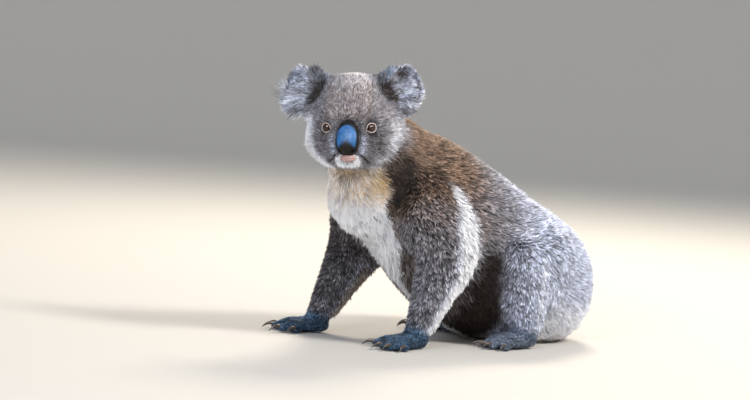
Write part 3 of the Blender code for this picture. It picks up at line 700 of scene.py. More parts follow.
def grown(root, normal, lie, length, lift, width, pull, rng, rings, wild, lock_size):
    """Closed spindles. A tuft's middle line leaves the root at the lift angle and lies down towards its
    tip, as the angle falls evenly along it; three points round each ring give its body. Tips are pulled to
    the nearest of a few leading tufts, which gathers them in locks."""
    count, sizes = len(root), bpy.context.scene.koala_coat
    stops = np.array([0.0, *RING_STOPS[rings], 1.0])
    side = np.cross(lie, normal)
    way = unit(lie + side * rng.normal(0, wild, (count, 1)))
    curl = rng.normal(0, wild, (count, 1))
    line, at = [root - normal * ROOT_DEPTH], root
    for start, stop in zip(stops, stops[1:]):
        mid = (stop + start) / 2
        angle = (lift * (1 - sizes.droop * mid))[:, None]
        axis = unit(way + side * curl * mid) * np.cos(angle) + normal * np.sin(angle)
        at = at + axis * (length * (stop - start))[:, None]
        line.append(at)
    leaders = rng.choice(count, max(count // lock_size, 1), replace=False)
    squat = root * [1, 1, 1.9]  # locks are wider than tall, so that the coat breaks into wavy rows
    lock = nearest(squat, squat[leaders])
    to = line[-1][leaders][lock] - line[-1]
    far = np.maximum(np.linalg.norm(to, axis=1), 1e-9)
    to = to * (np.minimum(1, np.minimum(sizes.lock_reach, 0.4 * length) / far) * pull)[:, None]
    line = [at + to * stop ** 1.5 if stop else at for at, stop in zip(line, stops)]
    rows, lean = [line[0][:, None]], [normal[:, None]]
    for k in range(1, rings + 1):
        axis = unit(line[k + 1] - line[k - 1])
        across = unit(np.cross(axis, normal))
        over = np.cross(axis, across)
        angle = rng.random((count, 1, 1)) * 2 * math.pi + (np.arange(3) * 2 * math.pi / 3)[None, :, None]
        around = across[:, None] * np.cos(angle) + over[:, None] * np.sin(angle) * 0.7
        # a triangle's corners are its side over 1.73 from its middle
        size = width * (1 if k == 1 else 0.8) / 1.73
        rows.append(line[k][:, None] + around * size[:, None, None])
        lean.append(around)
    rows.append(line[-1][:, None])
    lean.append(normal[:, None])
    points = np.concatenate(rows, 1)
    points[..., 2] = np.maximum(points[..., 2], TUFTS_LOWEST)
    axis = unit(line[-1] - line[0])
    soft = unit(normal - axis * (normal * axis).sum(1, keepdims=True) * 0.6)
    # light falls softly on the coat as a whole, and more on each tuft's own sides where it stands up
    stand = ((normal * axis).sum(1) ** 2)[:, None, None]
    lean = unit(np.concatenate(lean, 1) * (0.45 + 0.45 * stand) + soft[:, None] * (0.8 - 0.45 * stand))
    last = 1 + 3 * rings
    faces, sides = [(0, 2, 1), (0, 3, 2), (0, 1, 3)], ((0, 1), (1, 2), (2, 0))
    for base in range(1, last - 3, 3):
        for i, j in sides:
            faces += [(base + i, base + j, base + 3 + j), (base + i, base + 3 + j, base + 3 + i)]
    faces += [(last - 3 + i, last - 3 + j, last) for i, j in sides]
    along = np.concatenate([[0.0], np.repeat(stops[1:-1], 3), [1.0]])
    return points, np.array(faces), lean, along, rng.random(len(leaders))[lock]


def partings(points, way):
    """Where the wool parts, from 0 to 1: evenly spaced rows along the way, as the cosine of the height
    along it, bent by slow sines of x, y and z, and broken off where two other slow sines are low."""
    x, y, z = (2 * math.pi * points).T
    bend = 2.4 * np.sin(x / 0.041 + 1.3 * np.sin(z / 0.067))
    bend = bend + 2.1 * np.sin(y / 0.034 + 1.7 * np.sin(x / 0.083))
    apart = bpy.context.scene.koala_coat.parting
    rows = np.cos(2 * math.pi * (points @ way) / apart + bend + 1.1 * np.sin((x + y) / 0.017))
    whole = np.sin(x / 0.029 + 1.9 * np.sin(z / 0.045)) + np.sin(y / 0.037 + 1.3 * np.sin(z / 0.053))
    return ramp(0.35, 0.95, rows) * ramp(-0.9, 0.3, whole)


def coat_piece(name, weight, budget, seed, wool="koala_wool", spread=1.0, rings=1, lower=1.0, pull=0.60,
               wild=0.34, lock_size=11, blur=0.12, streak=0.0, trail=None, parted=0.0,
               way=(0.0, 0.0, -1.0), grizzle=0.8, patchy=0.6):
    """One piece of coat over the skin triangles whose mean weight is over a half, with its markings, its
    shading and its bake map. The words: spread and lower scale a tuft's width and lift, pull and lock_size
    gather the locks, wild is how far tufts stray, blur and streak roughen the marks, trail names a gain in
    length, parted is how deep the wool parts along the way, and grizzle and patchy are how much tufts and
    locks differ."""
    rng, droop = np.random.default_rng(seed), bpy.context.scene.koala_coat.droop
    chosen = np.flatnonzero(weight[SKIN["triangles"]].mean(1) > 0.5)
    which, corner = scattered(chosen, budget, rng)
    count = len(which)

    def at_root(key):
        return at_roots(SKIN[key], which, corner)

    root, normal = at_root("points"), unit(at_root("normals"))
    lie = in_skin(at_root("lie"), normal)
    mean_lift = np.radians(at_root("lift"))
    lift = mean_lift * lower * rng.normal(1, 0.16, count).clip(0.55, 1.4)
    width = at_root("width") * rng.uniform(0.75, 1.2, count) * spread
    # a tuft's height over its length: the sines of its two parts' angles, by their lengths
    reach = 0.42 * np.sin(mean_lift * (1 - droop * 0.21)) + 0.58 * np.sin(mean_lift * (1 - droop * 0.71))
    gain = at_root("gain")
    length = at_root("depth") / reach * rng.uniform(0.72, 1.08, count) * gain
    if trail:
        length = length * (1 + at_root(trail))
    gap = parted * partings(root, np.array(way))
    length, lift = length * (1 - 0.30 * gap), lift / np.maximum(gain, 1)
    points, pattern, lean, along, lock = grown(
        root, normal, lie, length, lift, width, pull * at_root("gather"), rng, rings, wild, lock_size
    )
    each = points.shape[1]
    faces = (pattern[None] + (np.arange(count) * each)[:, None, None]).reshape(-1, 3)
    piece = shell(name, points.reshape(-1, 3), [faces], wool)
    mesh = piece.data
    tuft = np.empty((count, each, 3))
    tuft[..., 0] = along
    # where the wool parts the tufts are painted darker: painted shade down in the partings
    tuft[..., 1] = ((0.62 + (rng.random(count) - 0.62) * grizzle) * (1 - 0.6 * gap))[:, None]
    tuft[..., 2] = ((0.5 + (lock - 0.5) * patchy) * (1 - gap))[:, None]
    paint(mesh, "tuft", tuft.reshape(-1, 3))
    for label, values in zip(("marks_a", "marks_b"), SKIN["marks"]):
        mark = at_roots(values, which, corner)
        rough = mark + rng.normal(0, blur, (count, 1)) + streak * (lock[:, None] - 0.5)
        paint(mesh, label, np.repeat(np.where(mark < 0.02, 0, ramp(0.12, 0.88, rough)), each, 0))
    paint(mesh, "custom_normal", lean, "FLOAT_VECTOR")
    # the bake map: a patch 0.003 across at each root's place on the skin's own unwrap
    spot = (unwrapped(chosen)[np.searchsorted(chosen, which)] * corner[..., None]).sum(1)
    sideways = np.concatenate([[0.0], np.tile([-1.0, 0.0, 1.0], rings), [0.0]])
    patch = spot[:, None] + np.stack([sideways, along * 2 - 1], 1)[None] * 0.0015
    put(mesh.uv_layers.new(name="OFBake").uv, "vector", patch.reshape(-1, 2)[faces.ravel()])
    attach(piece, "root")
    return piece


def guides():
    """The coat's numbers at each point of the skin: lift, width, density, gain, skirt and gather."""
    points, local = SKIN["points"], in_head(SKIN["points"])
    x, y, z = local.T
    wide, head, ears = np.abs(x), share("head"), share("ear")
    face = head * ramp(0.012, -0.012, y)
    close = face * ramp(0.050, 0.025, np.linalg.norm(local - BEHIND_NOSE, axis=1))
    lift = by_kind(1) * (1 - 0.12 * face)
    SKIN["lift"] = lift + SKIN["whorl"] * (80 - lift)
    SKIN["width"] = by_kind(2) * (1 - 0.20 * face - 0.15 * close)
    under = ramp(0.5, 0.9, -SKIN["normals"][:, 2]) * ramp(0.03, 0.01, points[:, 2])
    density = by_kind(3) * (1 + 0.50 * face + 0.5 * close) * (1 - 0.75 * under)
    cheek = head * ramp(0.056, 0.068, wide) * ramp(0.03, 0.01, z)
    ruff = head * ramp(0.028, 0.045, wide) * ramp(-0.012, -0.036, z)
    gain = (1 + 0.35 * SKIN["marks"][0][:, 0] * (1 - face)) * (1 + 0.65 * share("neck"))
    gain = gain * (1 + 0.05 * cheek + 0.8 * ruff) * (1 - 0.30 * ears) * (1 + 1.4 * ears * ear_crest(local))
    gain = gain * (1 + 0.45 * ears * ramp(0.078, 0.092, z))
    # the long hairs hang from the outer and lower rim of the ears, longest on the right one
    SKIN["skirt"] = ears * ramp(0.062, 0.080, wide) * ramp(0.070, 0.050, z) * np.where(x > 0, 0.7, 2.0)
    # bare places: the eyes, the nose pad and the lip; the coat about them is short
    for name in SIDES:
        _, off = from_eye(points, name)
        density = density * (off > 0.0068)
        gain = gain * (0.45 + 0.55 * ramp(0.007, 0.020, off))
    front, pad = y < -0.03, off_nose(local)
    gain = gain * np.where(front, 0.6 + 0.4 * ramp(1.0, 1.5, pad), 1)
    lip = np.hypot(x / 0.0104, (z + 0.0446) / 0.0046)
    SKIN["density"], SKIN["gain"] = density * ~((pad < 1) & front) * ~((lip < 1) & front), gain
    SKIN["gather"] = 1 - 0.8 * share("hand", "foot")


def owned(*names):
    """1 for each point of the skin that is nearest to one of these flesh nodes, and 0 for the others."""
    return np.isin(SKIN["hard"].argmax(1), [FLESH.index(name) for name in names]).astype(float)


class KOALA_OT_coat_head(bpy.types.Operator):
    """The short coat of the face, the crown and the neck"""

    bl_idname = "koala.coat_head"
    bl_label = "Coat of the head and neck"

    def execute(self, context):
        guides()
        coat_material("koala_wool", 0.24, 1.42)
        ahead = (in_head(SKIN["points"])[:, 1] < 0.004).astype(float)
        tufts = context.scene.koala_coat
        coat_piece("coat_face", owned("head") * ahead, tufts.face, 1, wild=0.26, pull=0.35)
        coat_piece("coat_crown", owned("head") * (1 - ahead), tufts.crown, 2)
        coat_piece("coat_neck", owned("neck"), tufts.neck, 3)
        return {"FINISHED"}


class KOALA_OT_coat_ears(bpy.types.Operator):
    """The fuzz of the ears and the long pale hairs that fan out over each"""

    bl_idname = "koala.coat_ears"
    bl_label = "Coat of the ears"

    def execute(self, context):
        coat_material("koala_ear_wool", 0.50, 1.25)
        coat_material("koala_ear_hair", 0.36, 1.40)
        tufts, local = context.scene.koala_coat, in_head(SKIN["points"])
        for seed, (name, side) in enumerate(SIDES.items()):
            own = owned("ear_" + name)
            fuzz = {"wool": "koala_ear_wool", "blur": 0.15, "streak": 0.7}
            coat_piece("coat_ear_" + name, own, tufts.ear, 10 + seed, **fuzz)
            # the fan starts on the front of the ear, from its hollow to its outer and lower rim
            front = own * (SKIN["normals"] @ HEAD_AXES[1] < 0.25)
            fan = front * (side * local[:, 0] > 0.048) * (local[:, 2] < 0.088)
            coat_piece(
                "fringe_ear_" + name, fan, tufts.ear_hair, 20 + seed, "koala_ear_hair", spread=0.80,
                rings=2, lower=0.62, wild=0.20, lock_size=16, streak=0.9, trail="skirt",
            )
        return {"FINISHED"}


class KOALA_OT_coat_trunk(bpy.types.Operator):
    """The deep coat of chest, back and rump"""

    bl_idname = "koala.coat_trunk"
    bl_label = "Coat of the trunk"

    def execute(self, context):
        tufts, trunk, y = context.scene.koala_coat, owned("trunk"), SKIN["points"][:, 1]
        first, second = np.quantile(y[trunk > 0], [0.36, 0.68])
        chest, back, rump = y <= first, (y > first) & (y <= second), y > second
        sloped = {"pull": 0.70, "lock_size": 8, "wild": 0.45, "way": (0.0, 0.8, -0.6)}
        coat_piece(
            "coat_chest", trunk * chest, tufts.chest, 30, pull=0.75, lock_size=14, wild=0.40, parted=0.3
        )
        for name, place, budget, seed, parted, grizzle, patchy in (
            ("coat_back", back, tufts.back, 31, 0.55, 0.7, 0.5),
            ("coat_rump", rump, tufts.rump, 32, 0.30, 0.45, 0.35),
        ):
            coat_piece(
                name, trunk * place, budget, seed, parted=parted, grizzle=grizzle, patchy=patchy, **sloped
            )
        return {"FINISHED"}


class KOALA_OT_coat_limbs(bpy.types.Operator):
    """The coat of the arms and legs, down to the digits"""

    bl_idname = "koala.coat_limbs"
    bl_label = "Coat of the limbs"

    def execute(self, context):
        tufts = context.scene.koala_coat
        for seed, side in enumerate(SIDES):
            arm = owned("upper_arm_" + side, "forearm_" + side, "hand_" + side)
            leg = owned("thigh_" + side, "shank_" + side, "foot_" + side)
            coat_piece(
                "coat_arm_" + side, arm, tufts.arm, 40 + seed, pull=0.75, lock_size=8, parted=1.0,
                wild=0.45, grizzle=1.0, patchy=0.8,
            )
            coat_piece(
                "coat_leg_" + side, leg, tufts.leg, 50 + seed, pull=0.70, lock_size=8, parted=0.6,
                wild=0.45, grizzle=0.8, patchy=0.7,
            )
        return {"FINISHED"}


# ---------------------------------------------------------------- eyes, lids, nose and lip
def eye_material():
    """A koala's eye: brown spokes round an upright pupil, a dark rim, and a wet clear surface."""
    tree, shader, _ = new_material(
        "wet_eye", Roughness=0.25, IOR=1.376, Specular_IOR_Level=0.1, Coat_Weight=1.0, Coat_Roughness=0.03,
        Coat_IOR=1.5,
    )
    tint = bpy.context.scene.koala_colours
    gaze = node(tree, "Attribute", attribute_name="gaze").outputs["Vector"]
    flat = node(tree, "VectorMath", {0: gaze, 1: (1, 1, 0)}, operation="MULTIPLY")
    off = node(tree, "VectorMath", {0: flat}, operation="LENGTH")
    slit = node(tree, "VectorMath", {0: flat, 1: (1.45, 1, 0)}, operation="MULTIPLY")
    slit = node(tree, "VectorMath", {0: slit}, operation="LENGTH")
    spin = node(tree, "VectorMath", {0: flat}, operation="NORMALIZE")
    # spokes: noise that changes round the eye but hardly outwards
    spokes = node(tree, "TexNoise", {"Vector": spin, "Scale": 9.0, "Detail": 4.0})
    spokes = node(tree, "MapRange", {0: spokes, 1: 0.35, 2: 0.65})
    rim = node(tree, "MapRange", {0: off, 1: 0.60, 2: 0.74})
    pupil = node(tree, "MapRange", {0: slit, 1: 0.40, 2: 0.46, 3: 1.0, 4: 0.0})
    eye = tuple(tint.iris_dark)
    for mark, over in ((spokes, tuple(tint.iris)), (rim, linear("#1d1412")), (pupil, linear("#060505"))):
        eye = node(tree, "Mix", {0: mark, 6: eye, 7: over}, data_type="RGBA")
    wire(tree, shader, {"Base Color": eye})


def lid_material():
    """Bare lid skin: pale pink at the wet edge, grey where the coat starts, with fine creases."""
    tree, shader, place = new_material("lid_skin", Roughness=0.5, Specular_IOR_Level=0.4)
    part = node(tree, "SeparateColor", {0: node(tree, "Attribute", attribute_name="fold")})
    out = node(tree, "MapRange", {0: part, 1: 0.40, 2: 0.55})
    edge = node(tree, "MapRange", {0: part, 1: 0.03, 2: 0.08, 3: 1.0, 4: 0.0})
    skin = tuple(bpy.context.scene.koala_colours.lid)
    for mark, over in ((out, linear("#4b4648")), (edge, linear("#3a2523"))):
        skin = node(tree, "Mix", {0: mark, 6: skin, 7: over}, data_type="RGBA")
    # creases about 0.7 mm apart
    grain = node(tree, "TexNoise", {"Vector": place, "Scale": 1500.0, "Detail": 2.0})
    bump = node(tree, "Bump", {"Strength": 0.4, "Distance": 0.0003, "Height": grain})
    wire(tree, shader, {"Base Color": skin, "Normal": bump})


def nose_material():
    """Leathery nose pad: black, with a painted blue reflection of the sky on its upper front, in small
    pebbles under a film of damp.
    """
    tree, shader, place = new_material(
        "nose_leather", Roughness=0.45, Specular_IOR_Level=0.25, Coat_Weight=0.08, Coat_Roughness=0.25
    )
    tint = bpy.context.scene.koala_colours
    drop, dark, _ = node(tree, "SeparateColor", {0: node(tree, "Attribute", attribute_name="pad")}).outputs
    # the upper front gets the painted reflection of a blue sky
    high = {0: drop, 1: 0.50, 2: 0.70, 3: 1.0, 4: 0.0}
    high = node(tree, "MapRange", high, interpolation_type="SMOOTHSTEP")
    # the painted blue reflection is clouded, in patches about 5 mm across
    cloud = node(tree, "TexNoise", {"Vector": place, "Scale": 200.0, "Detail": 3.0})
    cloud = node(tree, "MapRange", {0: cloud, 1: 0.36, 2: 0.64, 3: 0.72, 4: 1.22})
    blue = node(tree, "VectorMath", {0: tuple(tint.nose_blue)[:3], "Scale": cloud}, operation="SCALE")
    pad = node(tree, "Mix", {0: high, 6: tuple(tint.nose), 7: blue}, data_type="RGBA")
    pad = node(tree, "Mix", {0: dark, 6: pad, 7: linear("#0b0908")}, data_type="RGBA")
    # pebbles of the pad's skin, about 0.9 mm across
    cells = node(tree, "TexVoronoi", {"Vector": place, "Scale": 1100.0})
    worn = node(tree, "MapRange", {0: cells, 2: 0.7, 3: 1.08, 4: 0.80})
    pad = node(tree, "VectorMath", {0: pad, "Scale": worn}, operation="SCALE")
    bump = node(tree, "Bump", {"Strength": 0.5, "Distance": 0.0003, "Height": cells}, invert=True)
    wire(tree, shader, {"Base Color": pad, "Normal": bump})


def eye_frame(name, splay):
    """An eye's middle, radius and axes as rows: across, up and ahead."""
    low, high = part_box("eye_" + name)
    ahead = eye_look(name, splay)
    across = unit(np.cross(HEAD_AXES[2], ahead))
    return middle_of("eye_" + name), (high.z - low.z) / 2, np.stack([across, np.cross(ahead, across), ahead])


def eyeball(name):
    """A ball turned round its line of sight: at angle t from it the radius is R (1 + 0.05 exp(-(t/0.5)^2)),
    which lifts the cornea a little. The gaze attribute is the place on the ball over R."""
    middle, radius, axes = eye_frame(name, 0.22)
    t = np.linspace(0, math.pi, 34)[1:-1, None]
    a = round_turn(40)[None]
    far = radius * 0.985 * (1 + 0.05 * np.exp(-(t / 0.5) ** 2))
    local = np.stack([far * np.sin(t) * np.cos(a), far * np.sin(t) * np.sin(a), far * np.cos(t) + 0 * a], -1)
    ends = np.array([[0, 0, far[0, 0]], [0, 0, -far[-1, 0]]])
    points, faces = rounds(local @ axes + middle, ends @ axes + middle)
    ball = shell("eyeball_" + name, points, faces, "wet_eye")
    paint(ball.data, "gaze", (points - middle) @ axes.T / radius, "FLOAT_VECTOR")
    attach(ball, "root")
    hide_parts("eye_" + name)


def lids(name):
    """The lids: a ring round the eye whose section starts inside the opening, rolls over a rounded wet edge
    and runs out and down under the coat. The opening is nearly round, with a small point at the inner
    corner, and the upper lid has a ridge and a crease."""
    middle, radius, axes = eye_frame(name, 0.45)
    a = round_turn(64)[None]
    inner_corner = math.pi + 0.45 if SIDES[name] > 0 else -0.45
    turn = np.angle(np.exp(1j * (a - inner_corner)))
    opening = 1 + 0.02 * np.cos(2 * a) + 0.13 * np.exp(-(turn / 0.30) ** 2)
    reach = bpy.context.scene.koala_face.eye_opening * radius
    opening = reach * opening - 0.02 * radius * ramp(0.2, 1.0, np.sin(a))
    # the section, in steps from the wet edge out: how far out and how far ahead (m)
    t, steps = np.linspace(0, 1, 17)[:, None], [0, 0.12, 0.25, 0.45, 0.7, 1]
    out = np.interp(t, steps, [-0.0004, -0.0001, 0.0005, 0.0012, 0.0022, 0.0042])
    rise = np.interp(t, steps, [-0.0008, 0.0005, 0.0009, 0.0004, -0.0014, -0.0050])
    upper = ramp(0.2, 0.9, np.sin(a))
    rise = rise + upper * 0.0006 * np.exp(-((t - 0.55) / 0.12) ** 2)
    rise = rise - upper * 0.0005 * np.exp(-((t - 0.38) / 0.06) ** 2)
    far, high = opening + out, np.sqrt(np.maximum(radius ** 2 - opening ** 2, 0)) + rise
    local = np.stack([far * np.cos(a), far * np.sin(a), high + 0 * a], -1)
    back = local[::-1] - [0, 0, 0.0016]  # the under side, so that the ring is a closed body
    rings = np.concatenate([local, back])
    n, m = rings.shape[:2]
    points = rings.reshape(-1, 3) @ axes + middle
    ring = shell("lids_" + name, points, outward(points, [woven(n, m)]), "lid_skin")
    t = np.broadcast_to(np.concatenate([t, t[::-1]]), (n, m)).reshape(-1)
    paint(ring.data, "fold", np.stack([t, 0 * t, 0 * t], 1))
    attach(ring, "root")


def nose_pad():
    """The nose pad from its top to its lip edge. Its half width is (1 - t^2)^0.5 above the widest place and
    (1 - t^3)^0.42 below it; level sections are ovals; the middle line bows forward; each nostril is a
    curved slit pressed in, and a shallow line runs down between them."""
    local = in_head(merged("nose")[0])
    low, high = local.min(0), local.max(0)
    tall, wide = high[2] - low[2], (high[0] - low[0]) / 2
    s = ((1 - np.cos(np.linspace(0, math.pi, 90))) / 2)[1:-1, None]
    u = round_turn(96)[None]
    widest = 0.58  # how far down the pad is widest
    above, below = (widest - s) / widest, ((s - widest) / (1 - widest)).clip(0, 1)
    width = np.where(s < widest, np.sqrt(np.clip(1 - above ** 2, 0, 1)), (1 - below ** 3) ** 0.42)
    width = wide * width
    deep = 0.0125 * (width / wide) ** 0.8
    line = low[1] + 0.0125 + 0.0165 * (1 - np.sin(math.pi / 2 * np.minimum(s / 0.72, 1)))
    line = line + 0.0075 * ramp(0.72, 1.05, s)
    x = width * np.sign(np.cos(u)) * np.abs(np.cos(u)) ** 0.9
    front = -np.sin(u)
    y = line + deep * np.sign(front) * np.abs(front) ** 0.85
    z = high[2] - s * tall + 0 * u
    pit, lean = np.zeros_like(x), 0.55  # a nostril's lean from upright, in radians
    for side in SIDES.values():
        ax, az = x - side * (0.0098 + 0.10 * (z - low[2] - 0.0090)), z - (low[2] + 0.0085)
        along = az * math.cos(lean) + side * ax * math.sin(lean)
        across = side * ax * math.cos(lean) - az * math.sin(lean) + 22 * along ** 2
        pit = np.maximum(pit, np.exp(-(along / 0.0040) ** 2 - (across / 0.0015) ** 2) * (front < -0.1))
    groove = np.exp(-(x / 0.0010) ** 2) * ramp(0.70, 0.80, s) * (front < -0.1)
    y = y + 0.0052 * pit + 0.0006 * groove
    rings = from_head(np.stack([x, y, z], -1))
    ends = from_head([[0, line[0, 0], high[2]], [0, line[-1, 0], low[2]]])
    points, faces = rounds(rings, ends)
    pad = shell("nose_pad", points, faces, "nose_leather")
    # the pad attribute: how far down, which arches up in the middle of the black lower part and sets where
    # the painted blue reflection ends, and 1 where it is black all round, outside an oval on the front
    drop = s + 0.05 - 0.32 * np.abs(x / wide) ** 1.5
    oval = np.hypot(x / (0.86 * wide), (s - 0.46) / np.where(s < 0.46, 0.32, 0.60))
    rim = np.maximum(ramp(-0.30, 0.0, front) + 0 * s, ramp(0.88, 1.06, oval))
    part = np.stack([drop, np.maximum(ramp(0.25, 0.8, pit), rim), 0 * x], -1).reshape(-1, 3)
    paint(pad.data, "pad", np.concatenate([part, [[0, 0, 0], [1, 0, 0]]]))
    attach(pad, "root")
    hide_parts("nose")


def lip_material():
    """The bare lip under the nose: soft mottled pink skin with a fine grain."""
    tree, shader, place = new_material("lip_skin", Roughness=0.55, Specular_IOR_Level=0.35)
    pink = tuple(bpy.context.scene.koala_colours.lip)
    # spots about 2.4 mm across
    spots = node(tree, "TexNoise", {"Vector": place, "Scale": 420.0, "Detail": 3.0})
    spots = node(tree, "MapRange", {0: spots, 1: 0.35, 2: 0.65})
    skin = node(tree, "Mix", {0: spots, 6: pink, 7: linear("#a97f7c")}, data_type="RGBA")
    grain = node(tree, "TexNoise", {"Vector": place, "Scale": 1300.0, "Detail": 2.0})
    bump = node(tree, "Bump", {"Strength": 0.4, "Distance": 0.0003, "Height": grain})
    wire(tree, shader, {"Base Color": skin, "Normal": bump})


def lip():
    """A low oval pillow under the nose, 10 mm deep, bent back at its sides, with one groove down its middle
    and the mouth's line across it."""
    sizes, half_depth = bpy.context.scene.koala_face, 0.0050
    place = [0.0004, -0.0640, -0.0438]  # in the head's axes
    t = np.linspace(0, math.pi, 30)[1:-1, None]
    a = round_turn(48)[None]
    x, z = sizes.lip_width / 2 * np.sin(t) * np.cos(a), sizes.lip_height / 2 * np.sin(t) * np.sin(a)
    dent = 0.0008 * np.exp(-(x / 0.0008) ** 2) * (z > -0.001)
    dent = dent + 0.0011 * np.exp(-((z + 0.0012 + 6 * x * x) / 0.0006) ** 2)
    y = -half_depth * np.cos(t) + 25 * x * x + dent * (np.cos(t) > 0)
    rings, ends = np.stack([x, y, z], -1) + place, np.array([[0, -half_depth, 0], [0, half_depth, 0]]) + place
    points, faces = rounds(from_head(rings), from_head(ends))
    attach(shell("lip", points, faces, "lip_skin"), "root")


def claw_material():
    """Claw horn: smoky brown, paler at the root, with worn patches about a millimetre across."""
    tree, shader, place = new_material(
        "claw_horn", Roughness=0.32, IOR=1.54, Coat_Weight=0.15, Coat_Roughness=0.2
    )
    tint = bpy.context.scene.koala_colours
    part = node(tree, "SeparateColor", {0: node(tree, "Attribute", attribute_name="claw")})
    horn = node(tree, "Mix", {0: part, 6: tuple(tint.claw_root), 7: tuple(tint.claw)}, data_type="RGBA")
    grain = node(tree, "TexNoise", {"Vector": place, "Scale": 900.0, "Detail": 2.0})
    worn = node(tree, "MapRange", {0: grain, 1: 0.3, 2: 0.7, 3: 0.78, 4: 1.2})
    horn = node(tree, "VectorMath", {0: horn, "Scale": worn}, operation="SCALE")
    bump = node(tree, "Bump", {"Strength": 0.3, "Distance": 0.0002, "Height": grain})
    wire(tree, shader, {"Base Color": horn, "Normal": bump})


def claw(name, paw):
    """One claw along a curve of the second degree from its root in the digit over a raised middle to its
    tip. Its section is an oval, taller than wide, whose size falls as (1 - 0.94 s^1.6) from root to tip."""
    points = merged(name)[0]
    far = np.linalg.norm((points - paw) * [1, 1, 0], axis=1)
    tip = points[far.argmax()]
    start = points[far < far.min() + 0.0035].mean(0)
    ahead = unit((tip - start) * [1, 1, 0])
    across = unit(np.cross(ahead, [0, 0, 1.0]))
    thick = np.abs((points - start) @ across).max()
    top = points[:, 2].max()
    bow = (start + tip) / 2 + [0, 0, top - (start[2] + tip[2]) / 2 + 0.0008]
    s = np.linspace(0, 1, 14)[:, None]
    line = start * (1 - s) ** 2 + bow * 2 * s * (1 - s) + tip * s ** 2
    way = unit(np.gradient(line, axis=0))
    over = np.cross(across, way)
    a = round_turn(12)[:, None]
    size = (thick * (1 - 0.94 * s ** 1.6))[..., None]
    rings = line[:, None] + size * (across * np.cos(a) + over[:, None] * np.sin(a) * 1.35)
    rings[..., 2] = np.maximum(rings[..., 2], CLAWS_LOWEST)
    made, faces = rounds(rings, [line[0] - way[0] * 0.001, tip + way[-1] * 0.0004])
    part = np.concatenate([np.repeat(s[:, 0], a.size), [0.0, 1.0]])
    return made, faces, part


def claws(paw):
    """All claws of one paw as one piece."""
    names = [name for name in sorted(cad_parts) if name.startswith("claw_" + paw)]
    middle = centre_of(paw)
    made = [claw(name, middle) for name in names]
    points, faces = joined([(p, f) for p, f, _ in made])
    part = np.concatenate([own for _, _, own in made])
    piece = shell("claws_" + paw, points, faces, "claw_horn")
    paint(piece.data, "claw", np.stack([part, part, part], 1))
    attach(piece, "root")
    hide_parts(*names)


class KOALA_OT_claws(bpy.types.Operator):
    """The claws of both hands and both feet"""

    bl_idname = "koala.claws"
    bl_label = "Claws"

    def execute(self, context):
        claw_material()
        for side in SIDES:
            claws("hand_" + side)
            claws("foot_" + side)
        return {"FINISHED"}


class KOALA_OT_eyes(bpy.types.Operator):
    """Both eyes and their lids"""

    bl_idname = "koala.eyes"
    bl_label = "Eyes and lids"

    def execute(self, context):
        eye_material()
        lid_material()
        for name in SIDES:
            eyeball(name)
            lids(name)
        return {"FINISHED"}


class KOALA_OT_nose(bpy.types.Operator):
    """The nose pad and the bare lip under it"""

    bl_idname = "koala.nose"
    bl_label = "Nose and lip"

    def execute(self, context):
        nose_material()
        nose_pad()
        lip_material()
        lip()
        return {"FINISHED"}


